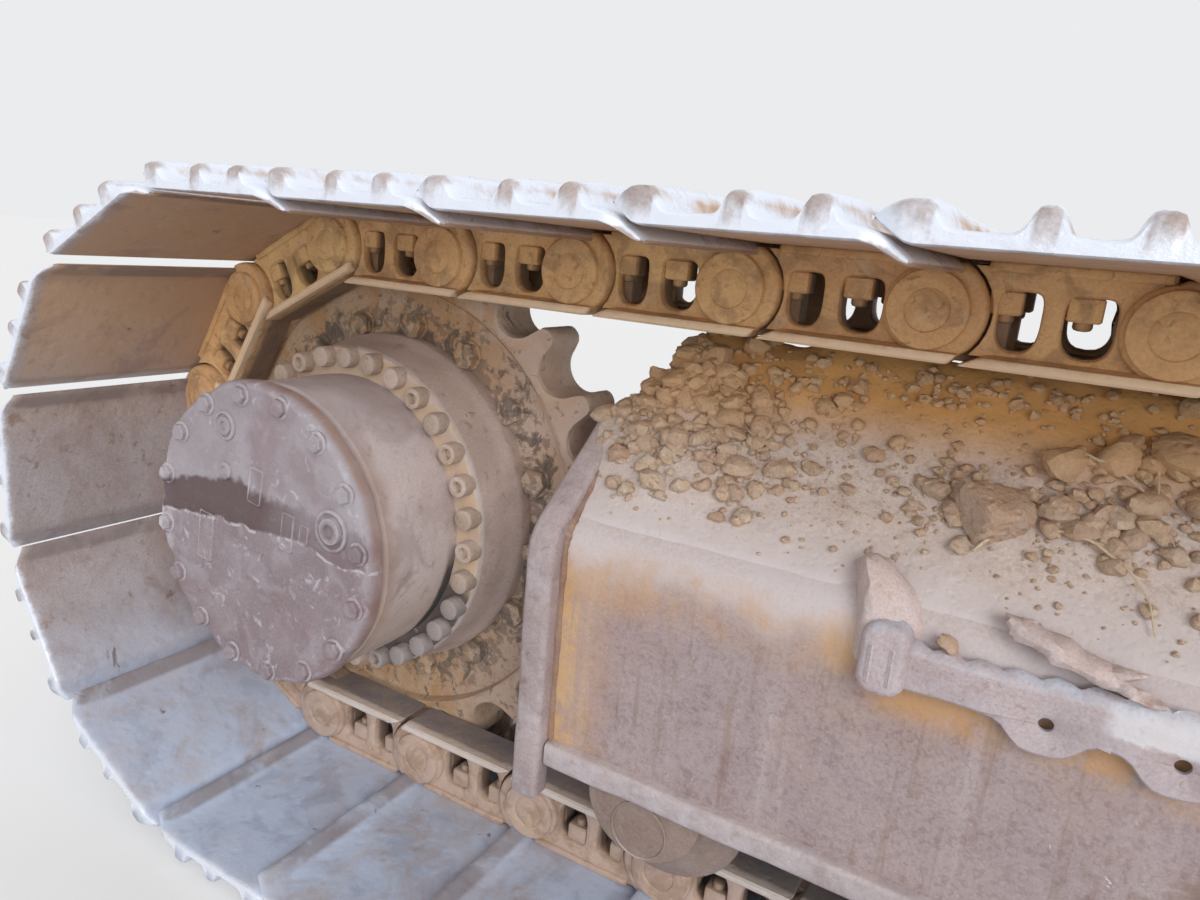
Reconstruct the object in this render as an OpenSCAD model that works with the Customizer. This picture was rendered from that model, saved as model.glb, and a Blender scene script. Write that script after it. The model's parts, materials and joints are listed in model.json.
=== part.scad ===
// Right-hand crawler track unit of a large excavator.
// X runs forward from the drive sprocket to the idler, Y runs inboard, Z is up.
// The origin is on the ground, midway between the two axles, in the chain's centre plane.

/* [Chain] */
// Pitch of the chain, pin to pin
pitch = 216; // [200:1:230]
// Teeth of the sprocket, which meets every second one
teeth = 23; // [21:2:25]
// Links wrapped round each end
wrap_links = 5; // [5:1:5]
// Links in each straight run
run_links = 20; // [14:1:24]
// From the pin line in to the rail surface
rail_h = 53; // [48:1:58]
// From the pin line out to the shoe seat
seat_h = 53; // [48:1:58]
// Outside radius of a bushing
bush_r = 36; // [32:1:38]
// Between the two rows of links
chain_gap = 100; // [96:1:110]
// Thickness of a link's web
link_t = 50; // [40:1:55]

/* [Shoes] */
// Width of a shoe
shoe_w = 800; // [700:10:900]
// Thickness of a shoe's plate
shoe_t = 13; // [10:1:16]
// Height of a grouser above the shoe seat
grouser_h = 37; // [30:1:45]
// Width of a grouser's tip
grouser_tip = 13; // [8:1:18]
// Width of a grouser's foot
grouser_foot = 28; // [24:1:34]
// How far the shoe's nose reaches back past its bushing
nose = 4; // [0:1:12]

/* [Sprocket] */
// Half the width of a tooth
tooth_half = 45; // [38:1:47]
// How far a tooth's tip stands out past the pin circle
tooth_out = 15; // [10:1:20]
// Radius of the web inside the toothed rim
rim_in_r = 335; // [320:1:345]
// Thickness of the web
web_t = 34; // [24:1:44]
// Outer face of the web, measured outboard of the centre plane
web_face = 24; // [18:1:30]

/* [Final drive] */
// Outer face of the cover
cover_face = 301; // [280:1:330]
// Radius of the cover
cover_r = 213; // [200:1:220]
// Thickness of the cover
cover_t = 25; // [18:1:32]
// Outboard face of the flange behind the drum
flange_face = 125; // [115:1:135]
// Radius of the flange at its outboard face
flange_r = 250; // [240:1:255]
// Radius of the flange where it meets the sprocket
flare_r = 265; // [258:1:270]
// Radius of the drum between cover and flange
drum_r = 209; // [196:1:212]
// Clearance from the turning hub to the inside of the toothed rim
hub_gap = 35; // [25:1:43]

/* [Travel motor] */
// Outer radius of the fixed drive flange on the frame
mount_r = 290; // [280:1:310]
// Bore of the frame's drive plate
mount_bore_r = 172; // [160:1:180]
// Thickness of the frame's drive plate
mount_t = 40; // [32:1:48]
// Radius of the motor's flange on the drive plate
motor_flange_r = 240; // [225:1:250]
// Radius of the motor's body
motor_r = 150; // [130:1:165]
// Inboard end of the motor
motor_end = 338; // [300:1:360]

/* [Frame] */
// From the sprocket's axle to the rear rim of the frame
rim_x = 405; // [395:1:430]
// Thickness of the rear rim
rim_t = 38; // [30:1:46]
// Half the width over the rear rim
rim_half = 243; // [232:1:250]
// How far the rear rim reaches below the axles
rim_foot = 250; // [240:1:258]
// Height of the rim above the box's plates
rim_out = 8; // [5:1:12]
// Depth of the rim's ring
rim_depth = 32; // [24:1:40]
// Half the width over the side walls
wall_half = 218; // [205:1:225]
// Thickness of the frame's plates
plate_t = 16; // [12:1:20]
// Top of the frame above the axles
top_z = 205; // [195:1:210]
// Half the width of the flat top
top_half = 95; // [80:1:110]
// Height of the side wall's upper corner above the axles
corner_z = 92; // [80:1:110]
// Radius of the upper corner
corner_r = 60; // [40:1:70]
// Underside of the bottom rail below the axles
rail_z = 207; // [200:1:215]
// Thickness of the bottom rail
rail_t = 31; // [26:1:36]
// Half the width over the bottom rails
rail_half = 235; // [225:1:240]
// Inner edge of a bottom rail from the centre plane
rail_in = 176; // [170:1:190]
// From the idler's axle back to the front of the box
box_gap = 430; // [400:1:460]

/* [Rollers] */
// Number of track rollers
roller_count = 9; // [7:1:9]
// From the sprocket's axle to the first track roller, and from the last one to the idler's
roller_x = 578; // [560:1:620]
// Tread radius of a track roller
roller_r = 90; // [84:1:94]
// Height of a track roller's flange above its tread
roller_flange = 17; // [12:1:20]
// Radius of a roller's shaft
roller_shaft_r = 34; // [28:1:38]
// Tread radius of a carrier roller
carrier_r = 61; // [54:1:62]
// Places of the carrier rollers, from the sprocket's axle
carrier_x = [1420, 2740]; // [1000:10:3000]

/* [Step] */
// Rear end of the torn step, from the sprocket's axle
step_x = 796; // [780:1:830]
// Length of the torn step
step_len = 520; // [420:5:600]
// Distance between the holes in its skirt
step_pitch = 103; // [90:1:120]
// Thickness of its plate
step_t = 8; // [5:1:10]
// How far its skirt stands off the side wall
step_off = 8; // [4:1:14]

/* [Idler] */
// Radial gap between the idler's tread and the links
idler_gap = 6; // [5:1:8]
// Height of the idler's centre flange above its tread
idler_flange = 20; // [16:1:22]
// Half the width of the centre flange
idler_flange_half = 40; // [34:1:44]
// Half the width over the idler's treads
idler_half = 108; // [98:1:111]
// Length of a bearing block
block_len = 250; // [220:2:280]
// Half the height of a bearing block
block_half = 120; // [100:1:130]
// Radius of the idler's axle
idler_axle_r = 52; // [44:1:58]

/* [Hidden] */
$fn = 96;
clear = 0.3;

// Chain layout: the angle of one link on the sprocket, its pin circle, and the lead of the first pin
link_a = 720 / teeth;
pin_r = pitch / (2 * sin(link_a / 2));
lead_a = (180 - wrap_links * link_a) / 2;
run_z = pin_r * cos(lead_a);
lead_x = pin_r * sin(lead_a);
axle_dist = run_links * pitch - 2 * lead_x;
links = 2 * (run_links + wrap_links);
axle_z = run_z + seat_h + grouser_h;
sprocket_x = -axle_dist / 2;
idler_x = axle_dist / 2;
link_in = chain_gap / 2;
link_out = link_in + link_t;
rail_line = run_z - rail_h;

// Pin k of the loop, counted clockwise seen from outboard, from the first pin of the upper run
function wrap_pin(cx, a) = [cx + pin_r * sin(a), pin_r * cos(a)];
function pin(k) =
    k <= run_links ? [sprocket_x - lead_x + k * pitch, run_z]
    : k <= run_links + wrap_links ? wrap_pin(idler_x, lead_a + (k - run_links) * link_a)
    : k <= 2 * run_links + wrap_links ? [idler_x + lead_x - (k - run_links - wrap_links) * pitch, -run_z]
    : wrap_pin(sprocket_x, 180 + lead_a + (k - 2 * run_links - wrap_links) * link_a);
function link_dir(k) = atan2(pin(k + 1)[1] - pin(k)[1], pin(k + 1)[0] - pin(k)[0]);
// A point of link k, with u along the link from its pin end and v outward to the shoe
function link_pt(k, p) = pin(k + 1)
    + [p[0] * cos(link_dir(k)) - p[1] * sin(link_dir(k)), p[0] * sin(link_dir(k)) + p[1] * cos(link_dir(k))];
// Corner of the loop offset by v from the pin line, at pin k
function turn(k) = (link_dir(k % links) - link_dir((k + links - 1) % links) + 540) % 360 - 180;
function loop_corner(k, v) = pin(k)
    + v / cos(turn(k) / 2) * [-sin(link_dir(k % links) - turn(k) / 2), cos(link_dir(k % links) - turn(k) / 2)];
function loop_line(v) = [for (k = [0 : links - 1]) if (abs(turn(k)) > 0.01) loop_corner(k, v)];

// Drawing planes: side views run along Y, cross-sections run along X
module side(y0, y1) {
    translate([0, y1, axle_z]) rotate([90, 0, 0]) linear_extrude(y1 - y0) children();
}
module section(x0, x1) {
    translate([x0, 0, axle_z]) rotate([90, 0, 90]) linear_extrude(x1 - x0) children();
}
// Turned part on a cross axle, from a profile of [radius, y] points
module turned(x, profile, z = 0) {
    translate([x, 0, axle_z + z]) rotate([-90, 0, 0]) rotate_extrude() polygon(profile);
}
module disc(x, z, r, y0, y1) {
    translate([x, y1, axle_z + z]) rotate([90, 0, 0]) cylinder(r = r, h = y1 - y0);
}

// Frame
box_x0 = sprocket_x + rim_x + rim_t;
box_x1 = idler_x - box_gap;
skirt_z = rail_z - rail_t;
floor_z = -118;
bulkhead_t = 20;
bulkhead_inset = 60;

module roof_outline(half, foot, corner, top) {
    // Side walls, rounded upper corners and sloping shoulders up to a narrow flat top
    slope = atan2(top - corner, half - top_half);
    tangent = corner_r * tan((90 - slope) / 2);
    hand = [half - corner_r, corner - tangent];
    arc = [for (a = [0 : 9 : 90 - slope]) hand + corner_r * [cos(a), sin(a)]];
    right = concat([[half, -foot]], arc, [[top_half, top]]);
    polygon(concat(right, [for (i = [len(right) - 1 : -1 : 0]) [-right[i][0], right[i][1]]]));
}

module frame_box() {
    color("rosybrown") {
        section(box_x0, box_x1) difference() {
            roof_outline(wall_half, skirt_z, corner_z, top_z);
            intersection() {
                translate([0, -plate_t]) roof_outline(wall_half - plate_t, 2 * rim_foot, corner_z, top_z);
                translate([-wall_half, floor_z]) square([2 * wall_half, 2 * wall_half]);
            }
            translate([plate_t - wall_half, -skirt_z - 1])
                square([2 * (wall_half - plate_t), skirt_z + 1 + floor_z - plate_t]);
        }
    }
}

module frame_rear_rim() {
    color("goldenrod") section(sprocket_x + rim_x, box_x0) difference() {
        roof_outline(rim_half, rim_foot, corner_z, top_z + rim_out);
        translate([0, -rim_depth]) roof_outline(rim_half - rim_depth, 2 * rim_foot, corner_z, top_z + rim_out);
    }
}

module frame_rear_bulkhead() {
    color("rosybrown") section(box_x0 + bulkhead_inset, box_x0 + bulkhead_inset + bulkhead_t) intersection() {
        translate([0, -plate_t - clear]) roof_outline(wall_half - plate_t - clear, 2 * rim_foot, corner_z, top_z);
        translate([-wall_half, floor_z + clear]) square([2 * wall_half, 2 * wall_half]);
    }
}

module frame_front_bulkhead() {
    color("rosybrown") section(box_x1, box_x1 + bulkhead_t) difference() {
        roof_outline(wall_half, skirt_z, corner_z, top_z);
        circle(r = 115);
    }
}

module roller_rails() {
    color("rosybrown") for (s = [-1, 1])
        translate([box_x0, s > 0 ? rail_in : -rail_half, axle_z - rail_z])
            cube([box_x1 - box_x0, rail_half - rail_in, rail_t]);
}

// Drive plate: the frame's inboard plate that runs back to the ring round the motor
drive_y = 62;
arm_top = 168;
arm_end = rim_x + rim_t + bulkhead_inset;
module drive_plate() {
    y1 = drive_y + mount_t;
    color("rosybrown") difference() {
        union() {
            disc(sprocket_x, 0, mount_r, drive_y, y1);
            side(drive_y, y1) translate([sprocket_x, 0]) polygon([[0, mount_r - 54], [rim_x - 20, arm_top], [arm_end, arm_top],
                [arm_end, floor_z + clear], [rim_x + rim_t - 2, floor_z + clear], [rim_x - 15, -215], [0, 40 - mount_r]]);
        }
        disc(sprocket_x, 0, mount_bore_r, drive_y - 1, y1 + 1);
    }
}

module travel_motor() {
    color("dimgray") turned(sprocket_x, [[0, 30], [mount_bore_r - 2, 30], [mount_bore_r - 2, drive_y + mount_t],
        [motor_flange_r, drive_y + mount_t], [motor_flange_r, drive_y + mount_t + 26],
        [motor_r, drive_y + mount_t + 50], [motor_r, motor_end - 40], [motor_r - 30, motor_end], [0, motor_end]]);
}

module motor_valve_block() {
    color("gray") translate([sprocket_x + motor_r - 30, drive_y + mount_t + 90, axle_z - 80])
        difference() {
            cube([150, 110, 160]);
            translate([30 - motor_r, 55, 80]) rotate([90, 0, 0]) cylinder(r = motor_r + clear, h = 300, center = true);
        }
}

// Final drive: the turning hub that holds the sprocket, then flange, drum and cover
hub_y0 = web_t - web_face;
hub_r = rim_in_r - hub_gap;
hub_rim_t = 28;
module final_drive_hub() {
    color("dimgray") turned(sprocket_x, [[mount_bore_r, hub_y0], [hub_r, hub_y0], [hub_r, hub_y0 + hub_rim_t],
        [mount_r - 30, drive_y - 6], [mount_bore_r, drive_y - 6]]);
}

module final_drive_flange() {
    color("sienna") turned(sprocket_x, [[0, hub_y0 - clear], [flare_r - 1, hub_y0 - clear],
        [flare_r, -web_face - 26], [flange_r, 8 - flange_face], [flange_r - 4, -flange_face], [0, -flange_face]]);
}

module final_drive_drum() {
    color("rosybrown") turned(sprocket_x, [[0, -flange_face], [drum_r + 5, -flange_face], [drum_r, -flange_face - 60],
        [drum_r - 3, cover_t - cover_face], [0, cover_t - cover_face]]);
}

module final_drive_cover() {
    color("gray") turned(sprocket_x, [[0, cover_t - cover_face], [cover_r, cover_t - cover_face],
        [cover_r, 5 - cover_face], [cover_r - 6, -cover_face], [0, -cover_face]]);
}

// Sprocket: a gap for each tooth angle, seated round the bushings at every second one
seat_clear = 1;
flank_in = 12;
tip_half = 35;
tip_r = pin_r + tooth_out;
module tooth_gap() {
    seat = bush_r + seat_clear;
    foot = sqrt(seat * seat - flank_in * flank_in);
    translate([pin_r, 0]) circle(r = seat);
    polygon([[pin_r - flank_in, -foot], [tip_r + 5, -seat - 11], [tip_r + 5, seat + 11], [pin_r - flank_in, foot]]);
}
module sprocket() {
    color("peru") difference() {
        turned(sprocket_x, [[flare_r, -web_face], [rim_in_r - 8, -web_face], [rim_in_r, -tooth_half], [pin_r - 25, -tooth_half],
            [tip_r, -tip_half], [tip_r, tip_half], [pin_r - 25, tooth_half], [rim_in_r, tooth_half],
            [rim_in_r - 8, web_t - web_face], [flare_r, web_t - web_face]]);
        translate([sprocket_x, 0, 0]) for (i = [0 : teeth - 1])
            side(-tooth_half - 1, tooth_half + 1) rotate(90 + lead_a + i * link_a / 2) tooth_gap();
    }
}

// Track rollers hang from the bottom rails on collars
roller_z = roller_r - rail_line + clear;
roller_x0 = sprocket_x + roller_x;
roller_step = (axle_dist - 2 * roller_x) / (roller_count - 1);
collar_in = 172;
collar_wall = 7;
// Half the width of a collar, which is a half round plate under the rail
collar_half = 75;
module track_rollers() {
    color("saddlebrown") for (i = [0 : roller_count - 1])
        turned(roller_x0 + i * roller_step, [[roller_shaft_r + clear, -collar_in + 6], [roller_r - 22, -collar_in + 6],
            [roller_r + roller_flange, -link_out - 42], [roller_r + roller_flange, -link_out - 20],
            [roller_r, -link_out - 16], [roller_r, -link_in + 6], [roller_r - 16, -link_in + 12],
            [roller_r - 16, link_in - 12], [roller_r, link_in - 6], [roller_r, link_out + 16],
            [roller_r + roller_flange, link_out + 20], [roller_r + roller_flange, link_out + 42],
            [roller_r - 22, collar_in - 6], [roller_shaft_r + clear, collar_in - 6]], roller_z);
}

module roller_shafts() {
    color("gray") for (i = [0 : roller_count - 1])
        disc(roller_x0 + i * roller_step, roller_z, roller_shaft_r, -collar_in - 42, collar_in + 42);
}

module roller_collars() {
    color("saddlebrown") for (i = [0 : roller_count - 1], s = [-1, 1])
        translate([roller_x0 + i * roller_step, 0, 0])
            side(s > 0 ? collar_in : -collar_in - 46, s > 0 ? collar_in + 46 : -collar_in) difference() {
                intersection() {
                    translate([0, roller_z - roller_shaft_r - collar_wall + collar_half]) circle(r = collar_half);
                    translate([-collar_half, -rail_z - 2 * collar_half]) square(2 * collar_half);
                }
                translate([0, roller_z]) circle(r = roller_shaft_r + clear);
            }
}

// Carrier rollers under the upper run
carrier_z = rail_line - carrier_r - clear;
carrier_pin_r = 24;
carrier_end = 10;
module carrier_rollers() {
    end = link_out + carrier_end;
    color("saddlebrown") for (x = carrier_x)
        turned(sprocket_x + x, [[carrier_pin_r, -end], [carrier_r, -end], [carrier_r, end], [carrier_pin_r, end]], carrier_z);
}

// Post beside the chain, widening from its eye to its foot on the frame's shoulder
post_in = 16;
post_t = 34;
eye_r = 42;
foot_half = 75;
foot_z = 130;
module carrier_brackets() {
    color("rosybrown") for (x = carrier_x) translate([sprocket_x + x, 0, 0]) {
        disc(0, carrier_z, carrier_pin_r - clear, -link_out - carrier_end, link_out + post_in + post_t / 2);
        difference() {
            side(link_out + post_in, link_out + post_in + post_t) union() {
                translate([0, carrier_z]) circle(r = eye_r);
                polygon([[-eye_r, carrier_z], [-foot_half, foot_z], [foot_half, foot_z], [eye_r, carrier_z]]);
            }
            section(-foot_half - 5, foot_half + 5) roof_outline(wall_half, 0, corner_z, top_z);
        }
    }
}

// Track guides: plates that hang from the bottom rails beside the links
guide_in = 126;
guide_t = 22;
guide_foot_t = 14;
guide_w = 130;
guide_drop = 160;
guide_neck = 50;
guide_toe = 20;
// Gaps between rollers that have guides, counted from the sprocket
guide_gaps = [2, 5];
module track_guides() {
    color("rosybrown") for (s = [-1, 1], g = guide_gaps)
        translate([roller_x0 + (g + 0.5) * roller_step, 0, 0]) {
            y0 = s > 0 ? guide_in : -guide_in - guide_t;
            side(y0, y0 + guide_t) translate([0, -rail_z])
                polygon([[-guide_w / 2, 0], [guide_w / 2, 0], [guide_w / 2, guide_neck - guide_drop],
                    [guide_w / 2 - guide_toe, -guide_drop], [guide_toe - guide_w / 2, -guide_drop],
                    [-guide_w / 2, guide_neck - guide_drop]]);
            translate([-guide_w / 2, s > 0 ? guide_in + guide_t - 1 : -rail_half, axle_z - rail_z - guide_foot_t])
                cube([guide_w, rail_half - guide_in - guide_t + 1, guide_foot_t]);
        }
}

// Front end: side rails that carry the idler's bearing blocks
idler_rail_in = 128;
idler_rail_t = 24;
rail_past = 90;
module idler_rails() {
    color("rosybrown") for (s = [-1, 1], v = [-1, 1])
        translate([box_x1 + bulkhead_t, s > 0 ? idler_rail_in : -wall_half, axle_z + (v > 0 ? block_half : -block_half - idler_rail_t)])
            cube([box_gap - bulkhead_t + rail_past, wall_half - idler_rail_in, idler_rail_t]);
}

idler_tread_r = pin_r * cos(link_a / 2) - rail_h - idler_gap;
module idler_wheel() {
    f = idler_tread_r + idler_flange;
    color("sienna") turned(idler_x, [[idler_axle_r + clear, -idler_half - 8], [idler_axle_r + 50, -idler_half - 8],
        [idler_axle_r + 58, -44], [idler_tread_r - 70, -36], [idler_tread_r - 44, -idler_half], [idler_tread_r, -idler_half],
        [idler_tread_r, -idler_flange_half - 3], [f, 4 - idler_flange_half], [f, idler_flange_half - 4],
        [idler_tread_r, idler_flange_half + 3], [idler_tread_r, idler_half], [idler_tread_r - 44, idler_half],
        [idler_tread_r - 70, 36], [idler_axle_r + 58, 44], [idler_axle_r + 50, idler_half + 8],
        [idler_axle_r + clear, idler_half + 8]]);
}

block_in = 124;
module idler_axle() {
    color("gray") disc(idler_x, 0, idler_axle_r, -wall_half, wall_half);
}

module idler_blocks() {
    color("sienna") for (s = [-1, 1])
        side(s > 0 ? block_in : -wall_half + 6, s > 0 ? wall_half - 6 : -block_in) translate([idler_x, 0]) difference() {
            square([block_len, 2 * block_half], center = true);
            circle(r = idler_axle_r + clear);
        }
}

// Yoke: two arms back from the blocks to a head that the adjuster's rod pushes
yoke_back = 370;
yoke_out = 196;
yoke_arm = 56;
yoke_h = 100;
yoke_head = 40;
module idler_yoke() {
    color("sienna") {
        for (s = [-1, 1])
            translate([idler_x - yoke_back, s > 0 ? yoke_out - yoke_arm : -yoke_out, axle_z - yoke_h / 2])
                cube([yoke_back - block_len / 2, yoke_arm, yoke_h]);
        translate([idler_x - yoke_back - yoke_head, -yoke_out, axle_z - yoke_h / 2])
            cube([yoke_head, 2 * yoke_out, yoke_h]);
    }
}

rod_r = 48;
rod_in_box = 120;
module adjuster_rod() {
    color("silver") translate([box_x1 - rod_in_box, 0, axle_z]) rotate([0, 90, 0])
        cylinder(r = rod_r, h = idler_x - yoke_back - yoke_head - box_x1 + rod_in_box);
}

// Pads on the inboard wall, where the machine's centre frame bolts on
pad_x = [1230, 2480];
pad_w = 440;
pad_h = 210;
pad_t = 26;
pad_bolt_x = 360;
pad_bolt_z = 130;
pad_bolt_r = 17;
pad_mid = -40;
module carbody_pads() {
    color("rosybrown") for (x = pad_x) difference() {
        translate([sprocket_x + x - pad_w / 2, wall_half, axle_z + pad_mid - pad_h / 2]) cube([pad_w, pad_t, pad_h]);
        for (i = [-1, 1], j = [-1, 1])
            translate([sprocket_x + x + i * pad_bolt_x / 2, wall_half + pad_t / 2, axle_z + pad_mid + j * pad_bolt_z / 2])
                rotate([90, 0, 0]) cylinder(r = pad_bolt_r, h = pad_t + 2, center = true);
    }
}

// What is left of the boarding step: a skirt with holed lobes, its end plates, and a torn ledge along the top
step_low = 38;
step_top = 80;
lobe_r = 26;
ear_w = 60;
ear_top = 100;
// End plate's upper edge on the frame's slope, from the side wall's face
step_rise = [[10, 150], [48, 165], [70, 120]];
function lobe_x(i) = step_pitch * (i + 1.62);
lobes = floor((step_len - ear_w) / step_pitch - 0.7);
module step_end() {
    // Follows the shoulder of the frame, from the skirt up the slope
    face = -wall_half - step_off - step_t;
    polygon(concat([[face, step_low], [face, ear_top]], [for (p = step_rise) p - [wall_half, 0]], [[-wall_half, step_low]]));
}
module step_bracket() {
    color("saddlebrown") difference() {
        union() {
            side(-wall_half - step_off - step_t, -wall_half - step_off) translate([sprocket_x + step_x, 0]) difference() {
                union() {
                    translate([0, step_low]) square([step_len, step_top - step_low]);
                    for (end = [0, step_len - ear_w]) translate([end, step_low - 5]) {
                        square([ear_w, ear_top - step_low - 20]);
                        translate([ear_w / 2, ear_top - step_low - 25]) circle(r = ear_w / 2);
                    }
                    for (i = [0 : lobes - 1]) translate([lobe_x(i), step_low + 4]) circle(r = lobe_r);
                }
                for (i = [0 : lobes - 1]) translate([lobe_x(i), step_low + 10]) circle(r = 6);
            }
            for (end = [0, step_len - step_t])
                section(sprocket_x + step_x + end, sprocket_x + step_x + end + step_t) step_end();
            translate([sprocket_x + step_x + ear_w, -wall_half - step_off - step_t, axle_z + step_top - step_t])
                linear_extrude(step_t) polygon(concat([[0, 0]],
                    [for (i = [0 : floor((step_len - 2 * ear_w) / 26) - 1]) each [[26 * i, 14], [26 * i + 9, 20], [26 * i + 17, 11]]],
                    [[step_len - 2 * ear_w, 14], [step_len - 2 * ear_w, 0]]));
        }
        section(sprocket_x + step_x - 5, sprocket_x + step_x + step_len + 5) translate([0, clear]) roof_outline(wall_half + clear, 0, corner_z, top_z);
    }
}

// Chain: two rows of links tied by bushings, one fixed loop
window = [[-88, -30], [-128, -30], [-140, 16], [-76, 16]];
module link_row(y0) {
    side(y0, y0 + link_t) difference() {
        polygon(loop_line(seat_h));
        polygon(loop_line(-rail_h));
        for (k = [0 : links - 1]) polygon([for (p = window) link_pt(k, p)]);
    }
}
module track_chain() {
    color("saddlebrown") {
        link_row(link_in);
        link_row(-link_out);
        for (k = [0 : links - 1]) translate([pin(k)[0], 0, 0])
            side(-link_in - 1, link_in + 1) translate([0, pin(k)[1]]) rotate(30) circle(r = bush_r, $fn = 6);
    }
}

// Shoes: plates with three grousers each, the nose of one lying over the lip of the next
plate_v = seat_h + shoe_t;
tip_v = seat_h + grouser_h;
grousers = [26 - pitch, 1 - pitch / 2, -38];
function shoe_profile() = concat([[-pitch - nose, seat_h + 3]],
    [for (g = [0 : 2]) each [
        if (g > 0) [grousers[g] - grouser_foot / 2, plate_v],
        [grousers[g] - grouser_tip / 2, tip_v],
        [grousers[g] + grouser_tip / 2, tip_v],
        if (g < 2) [grousers[g] + grouser_foot / 2, plate_v]]]);
module track_shoes() {
    color("slategray") side(-shoe_w / 2, shoe_w / 2) difference() {
        polygon([for (k = [0 : links - 1], p = shoe_profile()) link_pt(k, p)]);
        polygon(loop_line(seat_h));
    }
}

frame_box();
frame_rear_rim();
frame_rear_bulkhead();
frame_front_bulkhead();
roller_rails();
drive_plate();
travel_motor();
motor_valve_block();
final_drive_hub();
final_drive_flange();
final_drive_drum();
final_drive_cover();
sprocket();
track_rollers();
roller_shafts();
roller_collars();
carrier_rollers();
carrier_brackets();
track_guides();
idler_rails();
idler_wheel();
idler_axle();
idler_blocks();
idler_yoke();
adjuster_rod();
carbody_pads();
step_bracket();
track_chain();
track_shoes();
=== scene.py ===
"""Looks of a crawler track unit: final drive, sprocket, chain, shoes, side frame, step and dried mud.

Every shape is worked out in millimetres in the outboard view, with the sprocket's axle as origin:
x to the right toward the idler, z up, h toward the onlooker. put() turns that into the row frame.
"""

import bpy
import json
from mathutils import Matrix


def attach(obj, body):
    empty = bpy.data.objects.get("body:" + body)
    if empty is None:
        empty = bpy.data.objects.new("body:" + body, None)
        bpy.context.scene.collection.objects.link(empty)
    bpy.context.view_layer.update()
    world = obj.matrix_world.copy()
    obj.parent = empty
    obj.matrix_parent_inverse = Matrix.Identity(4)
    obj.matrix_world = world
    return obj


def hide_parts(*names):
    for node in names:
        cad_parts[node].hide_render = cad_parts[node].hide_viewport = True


bl_info = {
    "name": "Crawler Track Unit",
    "version": (1, 0, 0),
    "blender": (4, 5, 0),
    "location": "3D View > Sidebar > Track Unit",
    "description": "Builds the detailed pieces, finishes and stage of a crawler track unit",
    "category": "Object",
}

import json
import math
from types import SimpleNamespace

import bpy
import numpy as np
from bpy.props import FloatProperty, FloatVectorProperty, IntProperty, PointerProperty
from mathutils import Matrix, Vector

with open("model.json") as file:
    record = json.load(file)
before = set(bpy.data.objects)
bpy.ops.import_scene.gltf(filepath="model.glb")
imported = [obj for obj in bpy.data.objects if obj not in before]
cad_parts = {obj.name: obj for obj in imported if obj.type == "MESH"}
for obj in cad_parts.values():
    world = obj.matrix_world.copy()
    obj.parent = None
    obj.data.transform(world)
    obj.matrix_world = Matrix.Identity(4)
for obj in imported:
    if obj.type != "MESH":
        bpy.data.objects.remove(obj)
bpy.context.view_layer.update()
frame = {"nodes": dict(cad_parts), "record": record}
IDLER_AXLE = frame["record"]["behaviour"]["joints"][0]["pos_m"]

# The sprocket's axle in the row frame, in metres, and the distance to the idler's, in millimetres
AXLE_X = -IDLER_AXLE[0]
AXLE_Z = IDLER_AXLE[2]
REACH = 2000 * IDLER_AXLE[0]
FULL_TURN = 2 * math.pi

# Seat clearance, gap between the box's front end and the idler's axle, and places of the carrier rollers
CLEAR = 0.3
BOX_GAP = 430
CARRIERS = (1420, 2740)

# Seed of the links' tones
TONE_SEED = 11


# Sizes and colours a user may change

def length(name, value, note):
    """A size in the scene's units, from millimetres."""
    return FloatProperty(name=name, description=note, default=value / 1000, unit="LENGTH", min=0.0)


def count(name, value, note):
    """A whole number of pieces."""
    return IntProperty(name=name, description=note, default=value, min=1)


def colour(name, rgb, note):
    """A colour of a finish."""
    return FloatVectorProperty(name=name, description=note, default=rgb, subtype="COLOR", min=0, max=1)


class TrackSizes(bpy.types.PropertyGroup):
    """Chain and shoes"""
    pitch: length("Pitch", 216, "Distance between two pins")
    teeth: count("Tooth angles", 23, "Tooth angles of the sprocket, two for each link")
    wrap_links: count("Wrapped links", 5, "Links bent round each end")
    run_links: count("Links in a run", 20, "Links in each straight run")
    rail: length("Rail depth", 53, "From the pin line to the rail's running face")
    seat: length("Seat height", 53, "From the pin line to the shoe's seat")
    bushing: length("Bushing radius", 36, "Radius of the bushings that the teeth hold")
    inner: length("Inner face", 50, "From the centre plane to the links' inner faces")
    joint: length("Overlap face", 79, "Where a pin end lies over the next link's bushing end")
    web: length("Web face", 95, "Outer face of the link's web")
    boss: length("Boss face", 111, "Outer face of the pin boss and rail flange")
    shoe_half: length("Half shoe width", 400, "Half the width of a shoe")


class DriveSizes(bpy.types.PropertyGroup):
    """Final drive and sprocket"""
    cover_face: length("Cover face", 301, "Outer face of the cover")
    cover_radius: length("Cover radius", 213, "Radius of the cover")
    drum_radius: length("Drum radius", 209, "Radius of the drum behind the cover")
    flange_face: length("Flange face", 125, "Outer face of the bolted flange")
    flange_radius: length("Flange radius", 250, "Radius of the bolted flange")
    flare_radius: length("Flare radius", 265, "Radius of the flange's flared root")
    web_face: length("Web face", 24, "Outer face of the sprocket's web")
    rim_inside: length("Rim inside", 335, "Radius inside the toothed rim")
    tooth_half: length("Half tooth width", 45, "Half the width of a tooth at its root")
    tooth_out: length("Tooth tip", 15, "How far a tip stands past the pin circle")
    cover_bolts: count("Cover bolts", 16, "Bolts round the cover")
    flange_screws: count("Flange screws", 31, "Socket screws round the flange")
    web_bolts: count("Sprocket bolts", 16, "Hexagon bolts that hold the sprocket")


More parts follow.
